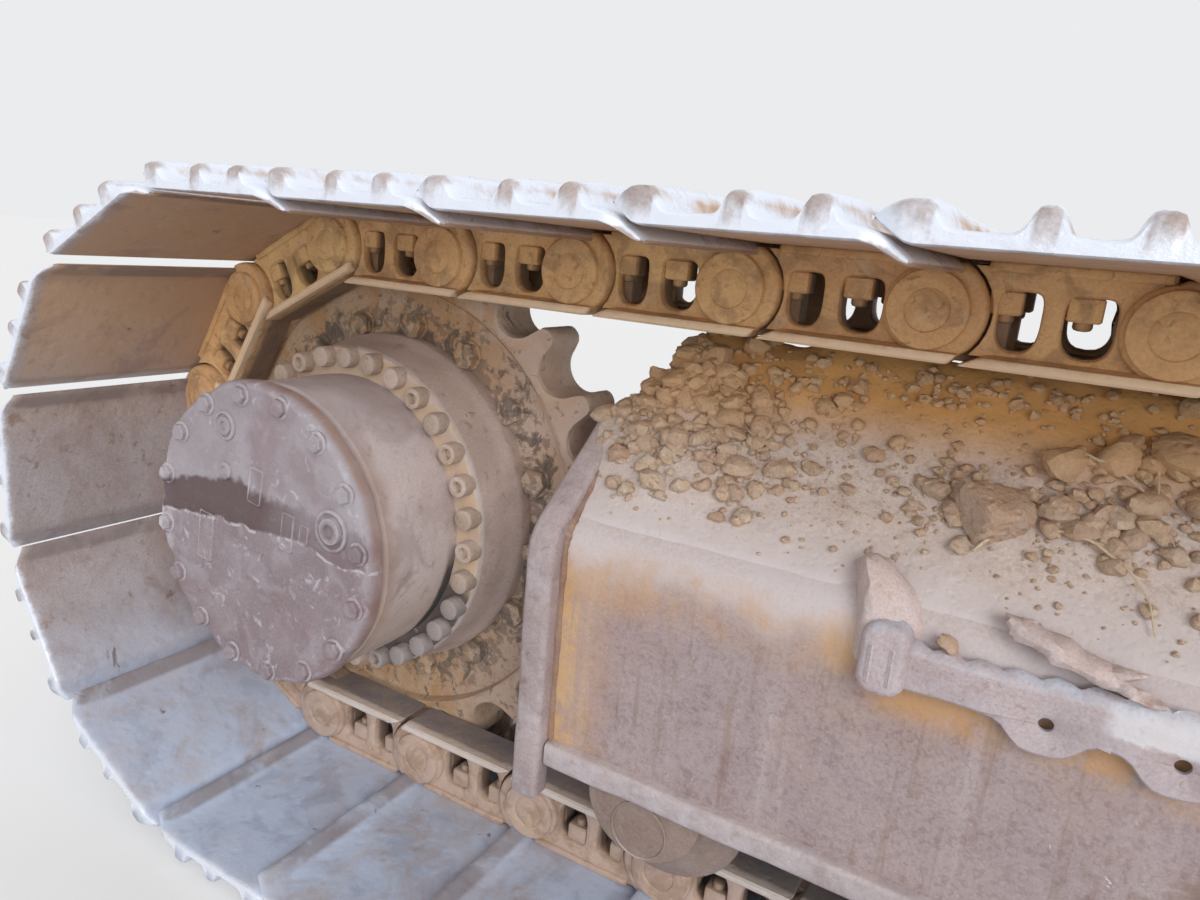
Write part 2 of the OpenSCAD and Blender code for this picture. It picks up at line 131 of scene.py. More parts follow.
class FrameSizes(bpy.types.PropertyGroup):
    """Side frame and rollers"""
    rim_x: length("Rim place", 405, "From the sprocket's axle to the rear rim")
    rim_wide: length("Rim width", 38, "Width of the rear rim")
    rim_half: length("Half rim", 243, "Half the width over the rear rim")
    rim_foot: length("Rim foot", 250, "How far the rim reaches below the axle")
    rim_deep: length("Rim depth", 32, "Depth of the rim's section")
    rim_out: length("Rim proud", 8, "How far the rim's top stands above the roof")
    wall_half: length("Half frame", 218, "Half the width over the side walls")
    plate: length("Plate", 16, "Thickness of the box plates")
    top_half: length("Half top", 95, "Half the width of the flat top")
    top_z: length("Top height", 205, "Top of the box above the axle")
    corner_z: length("Shoulder height", 92, "Height of the shoulder's corner")
    corner_r: length("Shoulder radius", 60, "Bending radius of the shoulder")
    rail_z: length("Lip foot", 207, "How far the bottom rails reach below the axle")
    rail_deep: length("Lip depth", 31, "Thickness of the bottom rails")
    rail_half: length("Half lip", 235, "Half the width over the bottom rails")
    rail_in: length("Lip inside", 176, "Inner face of the bottom rails")
    rollers: count("Track rollers", 9, "Rollers under the frame")
    roller_x: length("First roller", 578, "From the sprocket's axle to the first roller")
    roller_r: length("Roller radius", 90, "Tread radius of a track roller")
    shaft_r: length("Shaft radius", 34, "Radius of a roller's shaft")
    collar_half: length("Half collar", 75, "Half the width of a roller's half round collar")
    carrier_r: length("Carrier radius", 61, "Tread radius of a carrier roller")


class StepSizes(bpy.types.PropertyGroup):
    """What is left of the boarding step"""
    start: length("Start", 796, "From the sprocket's axle to the step's rear end")
    long: length("Length", 520, "Length of the step")
    ear: length("Ear", 46, "Width of the block at each end")
    low: length("Skirt foot", 38, "Lower edge of the skirt between the lobes")
    top: length("Ledge", 80, "Height of the skirt's top")
    face: length("Skirt face", 234, "Outer face of the skirt")
    lobe_pitch: length("Lobe pitch", 103, "Distance between two lobes")
    lobes: count("Lobes", 3, "Lobes with a hole each")


class MudSizes(bpy.types.PropertyGroup):
    """Dried mud on the frame's roof"""
    crest: length("Crest", 50, "How far the bank's crest stands above the two slopes carried on")
    bank_half: length("Half bank", 118, "Half the width of the bank under the chain")
    heap: length("Heap", 34, "Thickness of the heap over the rear slope")
    clods: count("Clods", 760, "Clods in the heap over the rear slope")
    rubble: count("Rubble", 300, "Clods in the rubble further forward")
    crumbs: count("Crumbs", 1500, "Crumbs strewn over the slopes")


class FinishColours(bpy.types.PropertyGroup):
    """Colours of the finishes"""
    mauve: colour("Mauve rust", (0.335, 0.255, 0.262), "Old rust of the side plates")
    brown: colour("Brown rust", (0.20, 0.115, 0.075), "Deep rust")
    tan: colour("Tan mud", (0.50, 0.34, 0.225), "Mud film on the links and the sprocket")
    dust: colour("Dust", (0.60, 0.52, 0.50), "Grey dust on faces that look up")
    paint: colour("Old paint", (0.62, 0.36, 0.12), "Rests of orange-yellow paint")
    # Steel worn bright on the shoes, also the colour of the painted highlight in their hollows.
    polished: colour("Polished steel", (0.80, 0.84, 0.93), "Steel worn bright")
    # Worn blue-grey of the lower shoes, which also stands for painted sky light.
    blue: colour("Worn blue-grey", (0.54, 0.63, 0.80), "Worn faces of the lower shoes")
    cast: colour("Casting", (0.24, 0.188, 0.205), "Purplish grey castings")
    clay: colour("Dry clay", (0.62, 0.44, 0.31), "Clods and crumbs")
    oil: colour("Oily dirt", (0.045, 0.04, 0.04), "Oily spots")


GROUPS = {"track": TrackSizes, "drive": DriveSizes, "side_frame": FrameSizes, "step": StepSizes,
          "mud": MudSizes, "finish": FinishColours}


def sizes(name):
    """One property group of the scene as plain values, with its lengths in millimetres."""
    group = getattr(bpy.context.scene, "track_unit_" + name)
    plain = SimpleNamespace()
    for key in GROUPS[name].__annotations__:
        value = getattr(group, key)
        unit = group.bl_rna.properties[key].unit
        if unit == "LENGTH":
            value = round(value * 1000, 4)
        elif not isinstance(value, (int, float)):
            value = tuple(value)
        setattr(plain, key, value)
    return plain


# Arrays of points

def around(number, start=0.0):
    """Angles of a full turn in equal steps."""
    return start + np.arange(number) * FULL_TURN / number


def polar(radius, angles):
    """Points at a radius and an angle from the origin."""
    return np.column_stack([radius * np.cos(angles), radius * np.sin(angles)])


def grid(*parts):
    """Points from their parts: each is one number, one for each row or column, or one for each point."""
    return np.stack(np.broadcast_arrays(*parts), -1).astype(float)


def climb(value, start, stop):
    """0 up to start, 1 from stop on, and a straight line between."""
    return np.clip((value - start) / (stop - start), 0, 1)


def unit(ways):
    """Vectors divided by their length."""
    return ways / np.linalg.norm(ways, axis=-1, keepdims=True)


def left_of(path):
    """Unit vectors to the left of a flat path, square to its gradient."""
    way = unit(np.gradient(path, axis=0))
    return np.column_stack([-way[:, 1], way[:, 0]])


def refined(path, number):
    """A path as more points, straight between its corners, with the same number on each stretch."""
    path = np.asarray(path, float)
    place = np.linspace(0, len(path) - 1, number)
    return np.column_stack([np.interp(place, np.arange(len(path)), part) for part in path.T])


def shrunk(section, amounts):
    """Rows of one section, each drawn in toward the section's middle by its amount."""
    middle = section.mean(0)
    return middle + (section - middle) * np.asarray(amounts)[:, None, None]


def mirrored(half, middle=()):
    """A profile of (radius, h) or (radius, h, wear), its middle, and its mirror image at -h in reverse."""
    return [*half, *middle, *((p[0], -p[1], *p[2:]) for p in half[::-1])]


def with_wear(rows):
    """Rows of two or three numbers as an array, with no wear where it isn't given."""
    return np.array([(*row, 0)[:3] for row in rows], float)


def inset(path, by):
    """Moves a closed path inward by a distance, measured from both edges at each corner."""
    edge = unit(np.roll(path, -1, 0) - path)
    left = np.stack([-edge[:, 1], edge[:, 0]], -1)
    before = np.roll(left, 1, 0)
    return path + by * (left + before) / (1 + (left * before).sum(1))[:, None]


def rounded(width, height, radius, steps=3):
    """Closed path of a rectangle about the origin with rounded corners, with an even number of points."""
    arc = polar(radius, np.linspace(0, math.pi / 2, steps + 1))
    turns = [np.array([[c, -s], [s, c]]) for c, s in ((1, 0), (0, 1), (-1, 0), (0, -1))]
    signs = ((1, 1), (-1, 1), (-1, -1), (1, -1))
    half = np.array([width / 2 - radius, height / 2 - radius])
    return np.vstack([half * s + arc @ t.T for s, t in zip(signs, turns)])


def circle_places(radius, angles, h):
    """Places (x, z, h) on a circle about the sprocket's axle."""
    return np.column_stack([polar(radius, angles), np.full(len(angles), h)])


def ripple(points, scale, seed, octaves=3):
    """Smooth noise between about -1 and 1: sine waves in random directions, halved at each octave."""
    rng = np.random.default_rng(seed)
    out = np.zeros(points.shape[:-1])
    for octave in range(octaves):
        for _ in range(4):
            way = rng.normal(size=3)
            way *= 2 ** octave * FULL_TURN / scale / np.linalg.norm(way)
            out += np.sin(points @ way + rng.uniform(0, FULL_TURN)) * 0.5 ** octave / 2
    return out


# Shells: closed skins of four-cornered faces

class Shell:
    """Points in the outboard view, quads, and for each point how worn it is and the tone of its copy."""

    def __init__(self, points, quads, wear=0.0, tone=0.5):
        self.points = points
        self.quads = quads
        self.wear = np.broadcast_to(np.asarray(wear, float), (len(points),)).copy()
        self.tone = np.broadcast_to(np.asarray(tone, float), (len(points),)).copy()

    def outward(self):
        """Turns the faces round where the volume that they enclose comes out negative."""
        a, b, c, d = (self.points[self.quads[:, i]] for i in range(4))
        volume = (a * np.cross(b, c)).sum() + (a * np.cross(c, d)).sum()
        if volume < 0:
            self.quads = self.quads[:, ::-1]
        return self

    def stood_up(self):
        """The shell with z and h exchanged, so that what pointed at the onlooker points up."""
        return Shell(self.points[:, [0, 2, 1]], self.quads, self.wear, self.tone).outward()

    def copied_quads(self, number):
        """Quads of several copies, whose points follow each other."""
        starts = np.arange(number)[:, None, None] * len(self.points)
        return (self.quads[None] + starts).reshape(-1, 4)


def skin(rows, close=False, wear=0.0):
    """A closed grid: each row of points is a ring. The rows close on each other, or the first and last are
    capped by joining column i to column n-1-i. wear is one number, or one for each row or each point."""
    m, n = rows.shape[:2]
    index = np.arange(m * n).reshape(m, n)
    here = index if close else index[:-1]
    after = np.roll(index, -1, 0) if close else index[1:]
    quads = [np.stack([here, np.roll(here, -1, 1), np.roll(after, -1, 1), after], -1).reshape(-1, 4)]
    if not close:
        i = np.arange(n // 2 - 1)
        for ring, order in ((index[0], -1), (index[-1], 1)):
            quads.append(np.stack([ring[i], ring[i + 1], ring[n - 2 - i], ring[n - 1 - i]], -1)[:, ::order])
    worn = np.asarray(wear, float)
    if worn.ndim == 1:
        worn = worn[:, None]
    worn = np.broadcast_to(worn, (m, n)).reshape(-1)
    return Shell(rows.reshape(-1, 3), np.vstack(quads), worn).outward()


def lathe(profile, centre=(0, 0), segments=64, close=False):
    """Turned part: each (radius, h) or (radius, h, wear) of the profile becomes a circle about the centre."""
    radius, h, wear = with_wear(profile).T[..., None]
    a = around(segments)
    rows = grid(centre[0] + radius * np.cos(a), centre[1] + radius * np.sin(a), h)
    return skin(rows, close, wear)


def slab(path, levels):
    """Plate with rounded edges: the closed path, counterclockwise, at each (inset, h) or (inset, h, wear)."""
    path = np.asarray(path, float)
    levels = with_wear(levels)
    rows = np.stack([np.column_stack([inset(path, d), np.full(len(path), h)]) for d, h, _ in levels])
    return skin(rows, wear=levels[:, 2])


def hex_head(across, height):
    """Hexagon head with a chamfered top, from h = 0 up."""
    outline = polar(across / math.sqrt(3), around(6))
    return slab(outline, [(0, -2), (0, height - 2), (across * 0.09, height, 0.3)])


def placed(shell, places, turns=0.0, mirror=False, tones=None):
    """Copies of a shell: places are rows of (x, z, h), turns their angles about h. mirror first sends h to
    -h."""
    places = np.atleast_2d(np.asarray(places, float))
    number = len(places)
    a = np.broadcast_to(np.asarray(turns, float), (number,))[:, None]
    x, z, h = shell.points.T
    h = -h if mirror else h
    points = grid(places[:, :1] + np.cos(a) * x - np.sin(a) * z,
                  places[:, 1:2] + np.sin(a) * x + np.cos(a) * z,
                  places[:, 2:] + h)
    quads = shell.copied_quads(number)
    tone = shell.tone if tones is None else np.repeat(tones, len(x))
    return Shell(points.reshape(-1, 3), quads[:, ::-1] if mirror else quads, np.tile(shell.wear, number),
                 np.resize(tone, number * len(x)))


def joined(shells):
    """Several shells as one."""
    starts = np.cumsum([0] + [len(s.points) for s in shells[:-1]])
    quads = np.vstack([s.quads + start for s, start in zip(shells, starts)])
    return Shell(np.vstack([s.points for s in shells]), quads, np.concatenate([s.wear for s in shells]),
                 np.concatenate([s.tone for s in shells]))


def both_sides(shell):
    """The shell and its mirror image across the centre plane."""
    return joined([shell, placed(shell, (0, 0, 0), mirror=True)])


def linked(name, data):
    """An object of the data, in the scene."""
    thing = bpy.data.objects.new(name, data)
    bpy.context.scene.collection.objects.link(thing)
    return thing


def put(name, shells, look, *replaces, slot=None, body="frame", crease=38):
    """Makes one piece of the shells, in the row frame, with its wear and tone as attributes. slot is not
    used. replaces names the CAD nodes that it stands for."""
    shell = joined(shells) if isinstance(shells, (list, tuple)) else shells
    x, z, h = shell.points.T / 1000
    points = np.column_stack([AXLE_X + x, -h, AXLE_Z + z])
    mesh = bpy.data.meshes.new(name)
    mesh.vertices.add(len(points))
    mesh.vertices.foreach_set("co", points.ravel())
    mesh.loops.add(shell.quads.size)
    mesh.loops.foreach_set("vertex_index", shell.quads.ravel().astype(np.int32))
    mesh.polygons.add(len(shell.quads))
    mesh.polygons.foreach_set("loop_start", np.arange(0, shell.quads.size, 4, dtype=np.int32))
    mesh.polygons.foreach_set("use_smooth", np.ones(len(shell.quads), bool))
    mesh.update(calc_edges=True)
    for key in ("wear", "tone"):
        attribute = mesh.attributes.new(key, "FLOAT", "POINT")
        attribute.data.foreach_set("value", getattr(shell, key).astype(np.float32))
    mesh.validate()
    mesh.set_sharp_from_angle(angle=math.radians(crease))
    mesh.materials.append(FINISH[look])
    piece = linked(name, mesh)
    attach(piece, body)
    if replaces:
        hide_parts(*replaces)
    return piece


# Shader graphs

class Graph:
    """Adds nodes to a tree. An input that is given as a socket is linked, and any other value is set."""

    def __init__(self, tree):
        self.tree = tree
        tree.nodes.clear()

    def add(self, kind, inputs=(), out=0, **settings):
        """A node with its settings and inputs; gives back one of its outputs, if it has any."""
        node = self.tree.nodes.new(kind)
        for key, value in settings.items():
            setattr(node, key, value)
        for key, value in dict(inputs).items():
            self.feed(node.inputs[key], value)
        return node.outputs[out] if len(node.outputs) else node

    def feed(self, socket, value):
        """Links or sets one input."""
        if isinstance(value, bpy.types.NodeSocket):
            self.tree.links.new(value, socket)
        elif socket.type == "RGBA" and len(value) == 3:
            socket.default_value = (*value, 1)
        else:
            socket.default_value = value

    def noise(self, vector, scale, detail=5.0, rough=0.6, warp=0.0):
        """Cloudy noise between 0 and 1."""
        return self.add("ShaderNodeTexNoise", {"Vector": vector, "Scale": scale, "Detail": detail,
                                               "Roughness": rough, "Distortion": warp})

    def ramp(self, value, low, high, start=0.0, end=1.0):
        """From start at low to end at high, with a soft step between."""
        return self.add("ShaderNodeMapRange", {"Value": value, "From Min": low, "From Max": high,
                                               "To Min": start, "To Max": end},
                        interpolation_type="SMOOTHSTEP")

    def fall(self, value, low, high, end=0.0):
        """From 1 at low to its end at high, with a soft step between."""
        return self.ramp(value, low, high, 1.0, end)

    def math(self, how, first, second=0.0, *third, clamp=False):
        """One step of reckoning with up to three values."""
        return self.add("ShaderNodeMath", enumerate((first, second, *third)), operation=how, use_clamp=clamp)

    def plus(self, first, second, clamp=False):
        """Sum of two values."""
        return self.math("ADD", first, second, clamp=clamp)

    def minus(self, first, second):
        """Difference of two values."""
        return self.math("SUBTRACT", first, second)

    def larger(self, first, second):
        """The larger of two values."""
        return self.math("MAXIMUM", first, second)

    def times(self, *values, clamp=False):
        """Product of the values from the left; clamp holds it between 0 and 1."""
        product = values[0]
        for value in values[1:-1]:
            product = self.math("MULTIPLY", product, value)
        return self.math("MULTIPLY", product, values[-1], clamp=clamp)

    def mix(self, amount, first, second, blend="MIX"):
        """The first colour with an amount of the second over it."""
        node = self.tree.nodes.new("ShaderNodeMix")
        node.data_type = "RGBA"
        node.blend_type = blend
        for key, value in ((0, amount), (6, first), (7, second)):
            self.feed(node.inputs[key], value)
        return node.outputs[2]

    def over(self, shade, colour, *masks):
        """The shade with a colour over it, by the product of the masks."""
        return self.mix(self.times(*masks) if len(masks) > 1 else masks[0], shade, colour)

    def split(self, vector):
        """The three parts of a vector."""
        node = self.tree.nodes.new("ShaderNodeSeparateXYZ")
        self.feed(node.inputs[0], vector)
        return node.outputs

    def attribute(self, name):
        """One of the two values that a shell keeps for its points, wear or tone."""
        return self.add("ShaderNodeAttribute", out=2, attribute_name=name)

    def group(self, name, **inputs):
        """Outputs of one of the shared effects."""
        node = self.tree.nodes.new("ShaderNodeGroup")
        node.node_tree = EFFECTS[name]
        for key, value in inputs.items():
            self.feed(node.inputs[key], value)
        return node.outputs

    def patches(self, vector, scale, low, high):
        """Mask of patches."""
        return self.group("Patches", Vector=vector, Scale=scale, Low=low, High=high)[0]

    def streaks(self, vector, scale, low, high):
        """Mask of upright streaks."""
        return self.group("Run streaks", Vector=vector, Scale=scale, Low=low, High=high)[0]

    def near(self, x, z, middle, reach):
        """1 at a point of the side and 0 past an ellipse round it; places in millimetres from the axle."""
        ways = []
        for value, centre, axle, by in ((x, middle[0], AXLE_X, reach[0]), (z, middle[1], AXLE_Z, reach[1])):
            away = self.math("DIVIDE", self.minus(value, axle + centre / 1000), by / 1000)
            ways.append(self.times(away, away))
        return self.fall(self.plus(*ways), 0.1, 1.0)

    def seen(self, *rays):
        """1 for rays of these kinds."""
        path = self.tree.nodes.new("ShaderNodeLightPath").outputs
        mask = path[rays[0]]
        for ray in rays[1:]:
            mask = self.larger(mask, path[ray])
        return mask


EFFECTS = {}


def effect(name, inputs, outputs, build):
    """A shader node group with named inputs and outputs; build returns the output sockets in order."""
    kinds = {"F": "NodeSocketFloat", "C": "NodeSocketColor", "V": "NodeSocketVector"}
    tree = bpy.data.node_groups.new(name, "ShaderNodeTree")
    for key, kind, value in inputs:
        socket = tree.interface.new_socket(name=key, in_out="INPUT", socket_type=kinds[kind])
        if value is not None:
            socket.default_value = (*value, 1) if kind == "C" else value
    for key, kind in outputs:
        tree.interface.new_socket(name=key, in_out="OUTPUT", socket_type=kinds[kind])
    graph = Graph(tree)
    given = tree.nodes.new("NodeGroupInput").outputs
    result = tree.nodes.new("NodeGroupOutput")
    for socket, value in zip(result.inputs, build(graph, given)):
        graph.feed(socket, value)
    EFFECTS[name] = tree


def patches(g, given):
    """Patches: warped noise, cut between low and high."""
    field = g.noise(given["Vector"], given["Scale"], 7.0, 0.62, 0.6)
    return [g.ramp(field, given["Low"], given["High"])]


def settled_dust(g, given):
    """Dust where the surface looks up, broken by noise, with fine specks in it."""
    coords = g.tree.nodes.new("ShaderNodeTexCoord").outputs
    up = g.ramp(g.split(coords["Normal"])[2], 0.15, 0.95)
    broken = g.ramp(g.noise(coords["Object"], given["Scale"], 8.0, 0.7), 0.30, 0.62)
    spread = g.math("MULTIPLY_ADD", up, 0.75, 0.25)
    mask = g.times(spread, broken, given["Amount"], clamp=True)
    fine = g.noise(coords["Object"], 260.0, 3.0, 0.6)
    tint = g.mix(g.ramp(fine, 0.35, 0.7, 0.0, 0.30), given["Dust"], (0.25, 0.17, 0.12))
    return [g.mix(mask, given["Color"], tint), mask]


def bare_wear(g, given):
    """Bare metal where the shell's wear, moved up and down by noise, is high."""
    coords = g.tree.nodes.new("ShaderNodeTexCoord").outputs
    broken = g.noise(coords["Object"], given["Scale"], 7.0, 0.7)
    worn = g.plus(g.attribute("wear"), g.math("MULTIPLY_ADD", broken, 1.1, -0.55))
    mask = g.times(g.ramp(worn, 0.25, 0.75), given["Amount"], clamp=True)
    return [g.mix(mask, given["Color"], given["Bare"]), mask]


def run_streaks(g, given):
    """Streaks: noise drawn out in height, cut between low and high."""
    stretched = g.add("ShaderNodeMapping", {"Vector": given["Vector"], "Scale": (1.0, 1.0, 0.07)})
    return [g.ramp(g.noise(stretched, given["Scale"], 6.0, 0.65), given["Low"], given["High"])]


def cast_grain(g, given):
    """Height of a casting's skin: noise with round pits in it."""
    coarse = g.noise(given["Vector"], given["Scale"], 9.0, 0.72)
    pits = g.add("ShaderNodeTexVoronoi", {"Vector": given["Vector"], "Scale": given["Pits"]})
    dented = g.ramp(pits, 0.0, 0.45, -0.35, 0.0)
    return [g.plus(coarse, dented)]


def build_effects():
    """Dust, wear, patches, streaks and cast grain, shared by the finishes."""
    effect("Patches", [("Vector", "V", None), ("Scale", "F", 8.0), ("Low", "F", 0.4), ("High", "F", 0.6)],
           [("Mask", "F")], patches)
    effect("Settled dust", [("Color", "C", (0.3, 0.3, 0.3)), ("Dust", "C", (0.5, 0.4, 0.35)),
                            ("Amount", "F", 0.6), ("Scale", "F", 14.0)], [("Color", "C"), ("Mask", "F")],
           settled_dust)
    effect("Bare wear", [("Color", "C", (0.3, 0.3, 0.3)), ("Bare", "C", (0.7, 0.7, 0.7)),
                         ("Amount", "F", 1.0), ("Scale", "F", 30.0)], [("Color", "C"), ("Mask", "F")],
           bare_wear)
    effect("Run streaks", [("Vector", "V", None), ("Scale", "F", 40.0), ("Low", "F", 0.5),
                           ("High", "F", 0.7)], [("Mask", "F")], run_streaks)
    effect("Cast grain", [("Vector", "V", None), ("Scale", "F", 60.0), ("Pits", "F", 90.0)],
           [("Height", "F")], cast_grain)


def finish(name, ground, blotch, spots, patch=9.0, dust=None, bare=None, rough=(0.55, 0.9), metal=0.0,
           grain=(60.0, 90.0, 0.0025), more=None):
    """A worn metal finish: ground colour with blotches and small spots, then what more() adds, dust and
    bare wear. dust is (colour, amount), bare is (colour, amount), grain is (noise scale, pit scale, height
    in metres)."""
    material = bpy.data.materials.new(name)
    material.use_nodes = True
    g = Graph(material.node_tree)
    coords = g.tree.nodes.new("ShaderNodeTexCoord").outputs
    place = coords["Object"]
    tone = g.attribute("tone")
    shift = g.add("ShaderNodeCombineXYZ", {"X": tone, "Y": tone})
    shifted = g.add("ShaderNodeVectorMath", {0: place, 1: shift}, operation="ADD")
    large = g.patches(shifted, patch, 0.38, 0.66)
    small = g.patches(shifted, patch * 7, 0.56, 0.70)
    shade = g.mix(g.times(small, 0.65), g.mix(large, ground, blotch), spots)
    shade = g.mix(0.35, shade, g.mix(tone, (0.35, 0.35, 0.35), (0.65, 0.65, 0.65)), "OVERLAY")
    fine = g.noise(place, 330.0, 3.0, 0.7)
    shade = g.mix(0.30, shade, g.mix(g.ramp(fine, 0.3, 0.7), (0.3, 0.3, 0.3), (0.7, 0.7, 0.7)), "OVERLAY")
    gloss = g.ramp(large, 0.0, 1.0, rough[0], rough[1])
    metallic = metal
    if more:
        shade = more(g, shade, place)
    if bare:
        shade, mask = g.group("Bare wear", Color=shade, Bare=bare[0], Amount=bare[1])
        gloss = g.minus(gloss, g.times(mask, rough[0] * 0.45))
        metallic = g.math("MULTIPLY_ADD", mask, 0.15, metal)
    if dust:
        shade, mask = g.group("Settled dust", Color=shade, Dust=dust[0], Amount=dust[1])
        gloss = g.plus(gloss, g.times(mask, 0.3), clamp=True)
    height = g.group("Cast grain", Vector=place, Scale=grain[0], Pits=grain[1])[0]
    normal = g.add("ShaderNodeBump", {"Height": height, "Distance": grain[2], "Strength": 0.7})
    shader = g.add("ShaderNodeBsdfPrincipled", {"Base Color": shade, "Roughness": gloss, "Metallic": metallic,
                                                "Normal": normal})
    g.add("ShaderNodeOutputMaterial", {"Surface": shader})
    return material


def side_plate(g, shade, place):
    """Pale and dark runs, a brown edge and orange-yellow paint beside the rear rim, paint under the
    step, a pale band below the shoulder, partly dust and partly painted highlight, and a tan wash
    between them."""
    c = sizes("finish")
    pale = g.streaks(place, 26.0, 0.52, 0.74)
    shade = g.over(shade, (0.50, 0.44, 0.45), pale, 0.6)
    ruddy = g.patches(place, 3.5, 0.45, 0.62)
    shade = g.over(shade, (0.36, 0.24, 0.20), ruddy, 0.45)
    speck = g.patches(place, 150.0, 0.48, 0.62)
    shade = g.over(shade, (0.18, 0.115, 0.11), speck, 0.45)
    dots = g.patches(place, 75.0, 0.685, 0.71)
    shade = g.over(shade, (0.66, 0.62, 0.64), dots, 0.8)
    dark = g.streaks(place, 70.0, 0.55, 0.72)
    shade = g.over(shade, c.brown, dark, 0.55)
    x, y, z = g.split(place)
    ragged = g.times(g.noise(place, 22.0, 6.0, 0.7), 0.10)
    from_rim = g.plus(g.minus(x, AXLE_X + 0.445), ragged)
    beside_rim = g.fall(from_rim, 0.065, 0.110)
    runs = g.streaks(place, 90.0, 0.34, 0.56)
    below_roof = g.fall(z, AXLE_Z + 0.06, AXLE_Z + 0.12)
    chipped = g.patches(place, 34.0, 0.30, 0.58)
    amount = g.times(beside_rim, runs, below_roof, chipped)
    down = g.plus(z, g.times(ragged, 0.35))
    under = g.times(g.ramp(down, AXLE_Z + 0.005, AXLE_Z + 0.045), g.fall(z, AXLE_Z + 0.07, AXLE_Z + 0.08))
    along = g.times(g.ramp(x, AXLE_X + 0.79, AXLE_X + 0.83), g.fall(x, AXLE_X + 1.30, AXLE_X + 1.36))
    step = g.larger(g.times(under, along), g.near(x, z, (776, 82), (34, 62)))
    patchy = g.patches(place, 16.0, 0.36, 0.54)
    faint = g.times(g.near(x, z, (690, 78), (110, 45)), 0.30)
    step = g.larger(step, faint)
    amount = g.larger(amount, g.times(step, patchy))
    outboard = g.fall(y, -0.214, -0.208)
    amount = g.times(amount, outboard)
    brown_edge = g.times(g.fall(from_rim, 0.085, 0.150), outboard, 0.5)
    shade = g.over(shade, (0.46, 0.265, 0.145), brown_edge)
    tint = g.mix(g.ramp(x, AXLE_X + 0.79, AXLE_X + 0.83), c.paint, (0.54, 0.27, 0.075))
    shade = g.over(shade, tint, amount, 0.9)
    wander = g.math("MULTIPLY_ADD", g.noise(place, 9.0, 6.0, 0.65), 0.09, -0.045)
    height = g.plus(z, wander)
    # Pale band below the shoulder: dust, and a painted highlight where the wall turns toward the sky.
    band = g.ramp(height, AXLE_Z + 0.035, AXLE_Z + 0.085)
    shade = g.over(shade, (0.60, 0.54, 0.55), band, 0.9)
    below_pale_band = g.times(g.ramp(height, AXLE_Z, AXLE_Z + 0.05),
                         g.fall(height, AXLE_Z + 0.065, AXLE_Z + 0.105))
    before_step = g.times(g.fall(x, AXLE_X + 0.78, AXLE_X + 0.80), outboard)
    washed = g.times(below_pale_band, before_step, g.ramp(patchy, 0.0, 1.0, 0.25, 0.65),
                     g.ramp(runs, 0.0, 1.0, 0.55, 1.0))
    return g.over(shade, (0.53, 0.305, 0.15), washed)


def oily(g, shade, place):
    """Orange mud and dark oily spots, most of them near the flange at the top."""
    c = sizes("finish")
    x, _, z = g.split(place)
    clay = g.patches(place, 19.0, 0.40, 0.60)
    right = g.ramp(x, AXLE_X + 0.10, AXLE_X + 0.26)
    shade = g.over(shade, (0.60, 0.46, 0.40), right, 0.6)
    shade = g.over(shade, (0.46, 0.25, 0.105), clay, g.ramp(right, 0.0, 1.0, 0.75, 0.30))
    ways = [g.minus(value, axle) for value, axle in ((x, AXLE_X), (z, AXLE_Z))]
    from_axle = g.math("SQRT", g.plus(*(g.times(way, way) for way in ways)))
    low = g.ramp(from_axle, 0.275, 0.35, 0.47, 0.60)
    spots = g.patches(place, 27.0, low, g.plus(low, 0.07))
    fine = g.patches(place, 70.0, g.minus(low, 0.02), g.plus(low, 0.05))
    shade = g.over(shade, (0.155, 0.11, 0.085), fine, 0.6)
    return g.over(shade, c.oil, spots, 0.7)


def cover_face(g, shade, place):
    """A dark stain across the face with a pale line at its lower edge, and pale scuffs."""
    x, y, z = g.split(place)
    across = g.minus(x, AXLE_X)
    bow = g.times(across, across, 0.35)
    wave = g.times(g.noise(place, 12.0, 4.0, 0.6), 0.035)
    low_edge = g.minus(g.plus(wave, AXLE_Z - 0.006), bow)
    above = g.minus(z, low_edge)
    fade = g.plus(above, g.times(g.noise(place, 9.0, 5.0, 0.6), 0.10))
    stain = g.times(g.ramp(above, 0.0, 0.004), g.fall(fade, 0.100, 0.112))
    stain = g.times(stain, g.fall(y, -0.2995, -0.2985))
    line = g.fall(g.math("ABSOLUTE", above), 0.0012, 0.003)
    shade = g.over(shade, g.over(shade, (0.46, 0.44, 0.47), 0.35), g.ramp(above, 0.0, 0.03))
    scuff = g.patches(place, 55.0, 0.57, 0.70)
    shade = g.over(shade, (0.58, 0.55, 0.57), scuff, 0.7)
    side = g.ramp(y, -0.2965, -0.290)
    shade = g.over(shade, (0.36, 0.235, 0.185), side, 0.75)
    left = g.times(g.ramp(across, -0.17, -0.205), g.patches(place, 38.0, 0.40, 0.55))
    shade = g.over(shade, (0.60, 0.57, 0.59), left, 0.8)
    ruddy = g.patches(place, 6.0, 0.44, 0.62)
    shade = g.over(shade, (0.23, 0.145, 0.15), ruddy, 0.5)
    rough = g.patches(place, 24.0, 0.48, 0.66)
    shade = g.over(shade, (0.40, 0.365, 0.39), rough, 0.4)
    stain = g.times(stain, g.fall(across, -0.02, 0.13, 0.35))
    shade = g.over(shade, (0.085, 0.045, 0.045), stain, 0.85)
    broken = g.patches(place, 40.0, 0.45, 0.55)
    return g.over(shade, (0.55, 0.52, 0.54), line, broken, 0.7)


